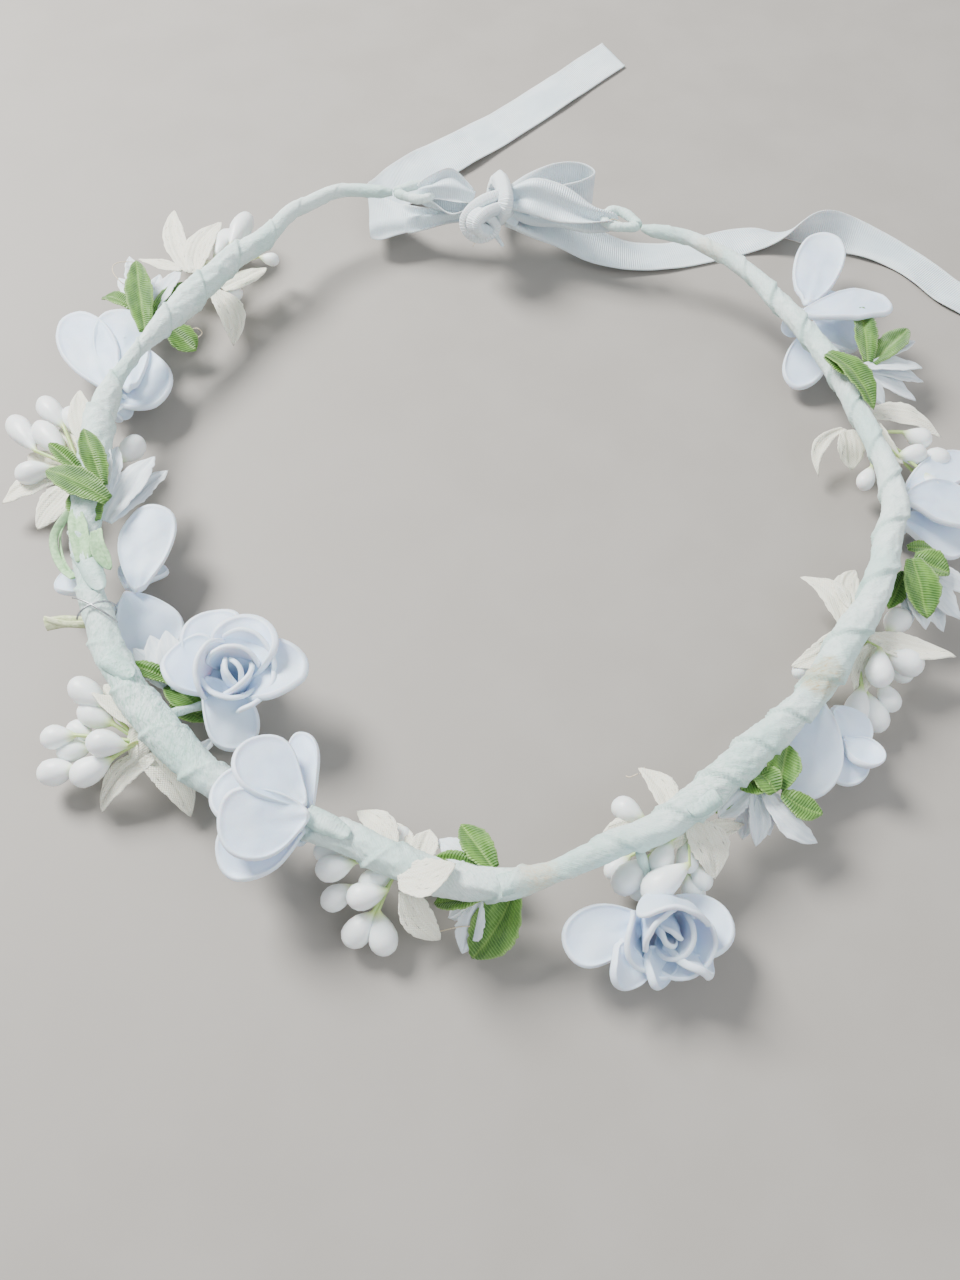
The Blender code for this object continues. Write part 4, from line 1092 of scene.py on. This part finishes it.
def build_blossoms(leaf, cotton):
    for name, (hub, leaves, petals) in BLOSSOMS.items():
        calyx = Piece()
        for row in leaves:
            blade(calyx, lay_of(hub, row), fullest=0.5, foot=0.4, blunt=0.5, thick=0.0005,
                  rib=0.0005, fray=0.05, pleats=1)
        calyx.done(name + "_satin_leaves", leaf, "hoop", "leaf", name + "_calyx")
        blossom = Piece()
        for row in petals:
            lay = lay_of(hub, row if len(row) > 7 else row + COTTON_BENDS)
            blade(blossom, lay, fullest=0.5, foot=0.35, blunt=0.1, thick=0.0004, rib=0.0004,
                  fray=0.06, pleats=2)
        blossom.done(name + "_cotton_petals", cotton, "hoop", "cotton", name + "_petals")


# ---- the ribbon ---------------------------------------------------------------------------
RIBBON = 10.5                # mm wide

# x, y, z in mm, heading and rise of the width in degrees, share of the width that lies open
LEFT_TAIL = (
    (-3.5, 92.4, 11, 95, 25, 0.40), (-11.3, 92.9, 9.9, 105, 18, 0.32),
    (-19.5, 93.7, 8.5, 100, 8, 0.72), (-25.7, 95.6, 7.3, 97, 2, 1.34),
    (-30.3, 98.1, 6.4, 96, 1, 1.94), (-33, 101.3, 5.3, 95, 0, 2.20),
    (-31.4, 104.6, 4.2, 96, 0, 2.28), (-27.5, 111.8, 3.2, 100, -1, 2.13),
    (-21.5, 120.4, 2.2, 103, -2, 1.97), (-14.5, 128.3, 1.3, 112, -2, 1.66),
    (-5.5, 136.3, 1.1, 118, -1, 1.48), (5.2, 146.1, 0.6, 124, 0, 1.35),
    (19.1, 159.9, 0.8, 124, 0, 1.31), (31.1, 172.8, 0.5, 122, 0, 1.32),
    (41.4, 183.5, 0.4, 118, 0, 1.36),
)
RIGHT_TAIL = (
    (5.2, 90.8, 11, 80, 25, 0.45), (12.9, 91.4, 9.2, 78, 38, 0.8), (20.7, 91.2, 7.4, 76, 38, 1.0),
    (27.1, 88.5, 5.6, 76, 28, 1.0), (33.2, 86.9, 3.6, 82, 12, 1.0), (40.9, 86.8, 1.6, 90, 4, 1.0),
    (50.1, 87.9, 0.7, 100, 0, 1.0), (60.4, 90.6, 0.5, 107, 0, 1.0), (71.5, 94.2, 0.6, 110, 0, 1.0),
    (79.3, 95.2, 1.8, 110, -18, 1.0), (85.7, 93.8, 4.6, 108, -62, 1.0),
    (93.3, 93.5, 5.2, 92, -110, 1.0), (104, 93, 2.6, 66, -160, 1.0),
    (116.6, 86.5, 0.5, 48, -180, 1.0), (126.1, 73.5, 0.8, 42, -180, 1.0),
    (134, 66, 0.5, 40, -180, 1.0), (149, 47, 0.4, 38, -180, 1.0),
)
LEFT_LOOP = (
    (-3.5, 92.8, 16.4, 90, 10, 0.45), (-9.1, 94.4, 18.6, 90, 38, 0.80),
    (-14.2, 94.5, 18.2, 90, 30, 0.60), (-17.8, 94.6, 16, 90, 0, 0.45),
    (-14.3, 93.8, 13.4, 90, 0, 0.45), (-9.2, 92.7, 13, 90, 20, 0.60),
    (-3.5, 92.4, 13.6, 90, 0, 0.40),
)
RIGHT_LOOP = (
    (5.4, 90.4, 17, 84, 20, 0.50), (11.4, 88.6, 19.6, 80, 48, 0.85),
    (18.7, 86.6, 19, 74, 50, 0.90), (26.1, 84.4, 17.6, 72, 34, 0.60),
    (33.1, 83.7, 16, 75, 0, 0.40), (27.6, 85.9, 13.6, 75, 0, 0.50), (20.3, 88.7, 13, 76, 0, 0.60),
    (12.2, 90.5, 12.8, 80, 20, 0.60), (5.7, 91.8, 13.4, 84, 0, 0.40),
)
BOW_LOOP = (
    (5.2, 94.1, 15.4, 90, 78, 0.45), (11.2, 97.4, 14.8, 90, 74, 0.80),
    (19.1, 102.1, 13.8, 90, 78, 1.0), (25.7, 103, 13.4, 90, 82, 1.0),
    (29.2, 99.9, 13.2, 90, 86, 1.0), (26, 96.2, 13.2, 90, 78, 1.0), (18.9, 95.2, 13, 90, 74, 0.85),
    (11.7, 93.8, 13.4, 90, 70, 0.6), (5.7, 92.2, 14, 90, 70, 0.40),
)
SATIN, CORD, CUT_EDGE = 0.00016, 0.00012, 0.00006    # half thicknesses of the cloth and its edge
OFF_TABLE, TOP_SKIN = 0.00002, 0.0002                # lowest the under skin may lie, upper over it
BUCKLE, RIBBON_WAVES = 0.32, 0.0003                  # how deep it folds, depth of its slow waves
RIBBON_ACROSS = (-1, -0.985, -0.93, -0.86, -0.7, -0.5, -0.25, 0,
                 0.25, 0.5, 0.7, 0.86, 0.93, 0.985, 1)


def ribbon(name, route, material, body, *stands_for, held="gathered", slant=0.0, steps=8,
           spread=1.0):
    """A strip of satin with a corded edge; where it is drawn in, its width buckles into folds.
    slant is how far in mm its cut end runs off square; spread, how much wider than RIBBON it
    would be, is not used."""
    rows = smooth(route, steps)
    middles = [Vector(row[:3]) * MM for row in rows]
    frames = []
    run = 0.0
    for i, (middle, row) in enumerate(zip(middles, rows)):
        ahead = (middles[min(i + 1, len(rows) - 1)] - middles[max(i - 1, 0)]).normalized()
        heading, rise = math.radians(row[3]), math.radians(row[4])
        width = Vector((math.cos(heading) * math.cos(rise), math.sin(heading) * math.cos(rise),
                        math.sin(rise)))
        if i:
            run += (middle - middles[i - 1]).length / MM
        frames.append((middle, ahead, width, width.cross(ahead).normalized(), row[5], run))
    piece = Piece()
    rings, marks, edges = [], [], []
    for i, (middle, ahead, width, face, share, run) in enumerate(frames):
        drawn = math.sqrt(max(0.0, 1 / share ** 2 - 1)) * BUCKLE
        ring, mark, edge = [], [], []
        for skin in (1, -1):
            for across in RIBBON_ACROSS if skin > 0 else reversed(RIBBON_ACROSS):
                half = RIBBON / 2 * MM
                corded = SATIN + CORD * math.exp(-((abs(across) - 0.95) / 0.03) ** 2)
                if abs(across) == 1:
                    corded = CUT_EDGE
                lift = skin * corded
                lift += math.cos(across * math.pi * 1.5 + run * 0.05) * drawn * half * share
                point = middle + width * across * half * share + face * lift
                if i == len(frames) - 1:
                    point += ahead * across * slant * MM
                lift = wobble(point, 130, RIBBON_WAVES)
                lift *= min(1.0, i / 4, (len(frames) - 1 - i) / 4)
                point += face * lift
                point.z = max(point.z, OFF_TABLE + (TOP_SKIN if skin > 0 else 0))
                ring.append(point)
                mark.append((across * RIBBON / 2, run))
                edge.append(abs(across))
        rings.append(ring)
        marks.append(mark)
        edges.append(edge)
    piece.loft(rings, marks, edges)
    made = piece.done(name, material, body, "satin", *stands_for)
    run * MM


# radius in mm, flatness, share of the radius left at the end, points in mm
KNOT = (
    (2.3, 0.72, 1, (
        (3.1, 102.1, 15), (3.8, 95.1, 19), (4.4, 88, 21.6), (4.7, 83.9, 21.4), (3.9, 83.5, 18.6),
        (2.7, 87.4, 14), (1.7, 94.7, 9.5), (1.5, 102.7, 7.5), (2.1, 105.7, 9.5), (2.9, 104.4, 13),
    )),
    (2.15, 0.78, 1, (
        (5, 89.4, 19), (2.3, 86.4, 21), (-0.8, 85.3, 20.6), (-3.7, 84.7, 18.6), (-5.3, 84.1, 16),
        (-4.8, 83.1, 13.6), (-2.4, 82.2, 12.4), (0.3, 82.3, 13), (1.9, 83.1, 14.6),
        (0.8, 83.2, 17), (-1.6, 82.2, 19), (-3.4, 80.8, 18.6), (-3.4, 80.1, 17), (-1.8, 80.1, 16),
    )),
    (2.0, 0.75, 1, (
        (3.4, 84.6, 19), (1.3, 81.8, 20.6), (-0.8, 80.2, 20.6), (-2.4, 79.1, 19), (-1.8, 78.9, 17),
        (-0.3, 79.8, 15.6),
    )),
    (1.2, 0.6, 0.4, (
        (-2.4, 81.8, 14), (0, 80.6, 15.6), (1.9, 81.8, 13.4), (3.3, 82.7, 10.4), (4.4, 82.5, 8.6),
    )),
    (1.7, 0.8, 1, (
        (6.8, 94.2, 15), (4.5, 88.7, 18), (1.3, 87.9, 17.4), (-1.8, 91.8, 14), (-3.5, 96.1, 11),
    )),
    (2.1, 0.8, 1, (
        (6.8, 93.1, 13), (4, 87.3, 16), (0.8, 87.3, 16), (-2.7, 90.7, 13),
    )),
    (4.4, 0.9, 1, (
        (6.1, 94.8, 12), (3.6, 91.9, 13), (0.6, 89.9, 13), (-2.4, 89.5, 12),
    )),
    (1.9, 0.22, 1, (
        (4.1, 89.9, 13.6), (6.3, 89.4, 12.4), (8.5, 89.1, 11),
    )),
)


def tie_knot(material):
    """The tight knot: one turn wrapped over the middle, a coil to its left, and the cut end."""
    piece = Piece()
    for radius, flat, taper, points in KNOT:
        strand(piece, points, radius * MM, 8, taper, sides=20, flat=flat, ridge=0.07)
    piece.done("ribbon_knot_turns", material, "hoop", "satin", "ribbon_knot")


# where each tail passes from its still root to the part that swings, in metres; the tails are
# baked in place, and nothing here makes them swing
LEFT_FOLD = ((-0.0225, 0.1085, 0.002), (-0.0172, 0.1148, 0.002))
RIGHT_FOLD = ((0.0625, 0.0865, 0.0002), (0.0705, 0.0890, 0.0002))


def build_ribbon(satin):
    tie_knot(satin)
    ribbon("left_loop_satin", LEFT_LOOP, satin, "hoop", "ribbon_left_loop")
    ribbon("right_loop_satin", RIGHT_LOOP, satin, "hoop", "ribbon_right_loop")
    ribbon("bow_loop_satin", BOW_LOOP, satin, "hoop", "ribbon_bow_loop")
    ribbon("left_tail_satin", LEFT_TAIL, satin,
           ("hoop", "left_tail", *LEFT_FOLD),
           "ribbon_tail_left_root", "ribbon_tail_left", held="laid", steps=10, spread=1.25)
    ribbon("right_tail_satin", RIGHT_TAIL, satin,
           ("hoop", "right_tail", *RIGHT_FOLD),
           "ribbon_tail_right_root", "ribbon_tail_right", held="laid", slant=1.0)


# ---- small things -------------------------------------------------------------------------
# width in mm, flatness, points in mm
SPARE_TAPE = (
    (0.9, 0.22, (
        (-90.5, -11.3, 17), (-92.3, -12.5, 16), (-94.8, -14.8, 14), (-95.6, -17.6, 13),
        (-94.1, -21.9, 13), (-91.2, -26.2, 14), (-87.8, -29.5, 16),
    )),
    (0.5, 0.4, (
        (-91.8, -9.6, 14), (-93.8, -12.5, 13), (-94.8, -15.8, 12), (-93.7, -20.1, 12),
        (-91, -25.1, 14), (-88.3, -28.4, 15),
    )),
)
# foot and tip in mm, width, roll, cup, bow, curl, twist, sway, roundness of the tip, foot's width
TAPE_SLIPS = (
    ((-82.9, -21.1, 21.5), (-79.1, -29.5, 19), 3.6, (10, 80, 0.05, 0, 0, 0.06), 0.8, 0.7),
    ((-84.9, -27.3, 19.5), (-90.3, -11.8, 18), 4.2, (0, 60, 0.04), 0.9, 0.8),
)
# radius in mm, points in mm
STUB = (
    (1.05, (
        (-80, -39.6, 15), (-84.2, -39.6, 14.6), (-88.7, -39, 14), (-92.7, -39.5, 13.6),
    )),
    (0.55, (
        (-81.4, -40.1, 15.5), (-86.9, -40.3, 15), (-92.8, -38.7, 14.4),
    )),
)
# foot and tip in mm, width in mm
TORN_ENDS = (
    ((-33.5, -83.8, 21), (-25.4, -87.8, 19.6), 5.0),
    ((-76.5, -50.7, 20), (-69.9, -55.1, 19.8), 5.0),
    ((-86.7, -24.3, 19.6), (-79.8, -34.9, 19.6), 5.6),
    ((42, -79.2, 19.4), (36.4, -83.2, 19.4), 6.0), ((1.7, -96.7, 19.4), (6.8, -94.9, 18.4), 5.0),
)
# points in mm
THREADS = (
    ((-91.5, 69.9, 14), (-94.9, 68.7, 15), (-96.5, 67.2, 15), (-95.7, 64.2, 15), (-93, 61.7, 14),
     (-91.5, 64.7, 12)),
    ((-77.3, 54.7, 5), (-75.2, 54.4, 6), (-74, 53.7, 5), (-75.5, 52.3, 4.6), (-76.7, 53.9, 4.8)),
    ((-1.3, 81.4, 14), (-2.4, 84, 10), (-3.8, 85.6, 6)),
    ((35.2, 81.6, 17), (33.1, 82.1, 17.6), (31.5, 81.6, 17)),
    ((30.1, -70.4, 7), (31, -69.2, 7.2), (31.4, -69.6, 6.6)),
    ((29.7, -70.4, 7), (28.1, -71, 6.8), (27.4, -70.6, 6.4)),
    ((72.6, -64.3, 6), (77.9, -65.2, 5.6), (80.2, -64.3, 6.4)),
    ((-9.7, -101.1, 4), (-5.9, -101, 7), (-3.7, -101.1, 8)),
)
TIED_AT, TIE_WIRE = -104, 0.00022    # place of the binding wire on the hoop in mm, its radius
THREAD = 0.00011                     # radius of a stray thread


def lay_in_mm(foot, tip, width, *bends):
    """A Lay whose foot, tip and width are given in mm."""
    return Lay(Vector(foot) * MM, Vector(tip) * MM, width * MM, *bends)


def leave_spare_tape(mint, straw):
    """The loop of spare tape on the left and the stub of a cut stem."""
    spare = Piece()
    for width, flat, points in SPARE_TAPE:
        strand(spare, points, width * MM, 8, sides=10, flat=flat)
    for foot, tip, width, bends, blunt, wide in TAPE_SLIPS:
        blade(spare, lay_in_mm(foot, tip, width, *bends), blunt=blunt, foot=wide)
    spare.done("spare_tape_loop", mint, "hoop", "tape")
    stub = Piece()
    for radius, points in STUB:
        strand(stub, points, radius * MM, 8, 1.2, sides=14, flat=0.42, ridge=0.2)
    stub.done("cut_stem_stub", straw, "hoop", "tape")


def leave_torn_ends(tape):
    """Slips of tape that came off the roll unevenly and lie over the hoop."""
    torn = Piece()
    for foot, tip, width in TORN_ENDS:
        blade(torn, lay_in_mm(foot, tip, width, 0, -120, 0.03), blunt=0.95, foot=0.95, fray=0.04,
              thick=0.0003)
    torn.done("torn_tape_ends", tape, "hoop", "tape")


def twist_binding(wire):
    """Fine wire: most of a turn round the hoop, and a shorter turn across it."""
    point, ahead, outward = hoop_at(TIED_AT)
    twist = Piece()
    over_tape = 0.0007
    radius = eased(TAPE_BUILD, TIED_AT) * MM + over_tape
    for tilt, start, sweep in ((0.12, 20, 300), (-1.3, 35, 120)):
        path = []
        for i in range(37):
            turn = math.radians(start + sweep * i / 36)
            path.append(point + (outward * math.cos(turn) + UP * math.sin(turn)) * radius
                        + ahead * tilt * radius * math.cos(turn))
        rod(twist, path, [TIE_WIRE] * len(path), sides=10)
    twist.done("binding_wire_twist", wire, "hoop", "wire", "binding_wire")


def leave_threads(thread):
    """Ends of thread at the flowers and the ribbon."""
    stray = Piece()
    for points in THREADS:
        strand(stray, points, THREAD, 6, sides=6)
    stray.done("stray_threads", thread, "hoop", "linen")


FLOOR_REACH, FLOOR_UNDER = 3.0, -0.0002      # half its width; its height, just under the crown


def lay_floor(material):
    board = bpy.data.meshes.new("floor")
    far, under = FLOOR_REACH, FLOOR_UNDER
    board.from_pydata([(-far, -far, under), (far, -far, under), (far, far, under),
                       (-far, far, under)], [], [(0, 1, 2, 3)])
    board.materials.append(material)
    floor = bpy.data.objects.new("floor", board)
    bpy.context.scene.collection.objects.link(floor)


stand_camera()
light_studio()
tape_material = tape_finish()
foam_material = foam_finish()
wind_tape(tape_material)
bend_eyelets(tape_material)
build_roses(foam_material, tape_material)
build_stars(linen_finish(), bud_finish())
build_blossoms(leaf_finish(), cotton_finish())
build_ribbon(satin_finish())
leave_spare_tape(
    plain_finish("mint_tape", (0.42, 0.66, 0.36), (0.26, 0.48, 0.23), 900.0, 0.6, 0.0003,
                 subsurface_weight=0.05),
    plain_finish("straw_tape", (0.76, 0.79, 0.52), (0.52, 0.60, 0.30), 700.0, 0.6, 0.0004,
                 subsurface_weight=0.05))
leave_torn_ends(tape_material)
twist_binding(plain_finish("steel_wire", (0.50, 0.52, 0.54), (0.30, 0.31, 0.33), 2600.0, 0.25,
                           0.0001, metallic=1.0))
leave_threads(plain_finish("stray_thread", (0.82, 0.72, 0.55), (0.62, 0.50, 0.34), 2600.0, 0.6,
                           0.0001))
lay_floor(plain_finish("pale_floor", (0.315, 0.295, 0.27), (0.30, 0.28, 0.255), 40.0, 0.5, 0.0002))
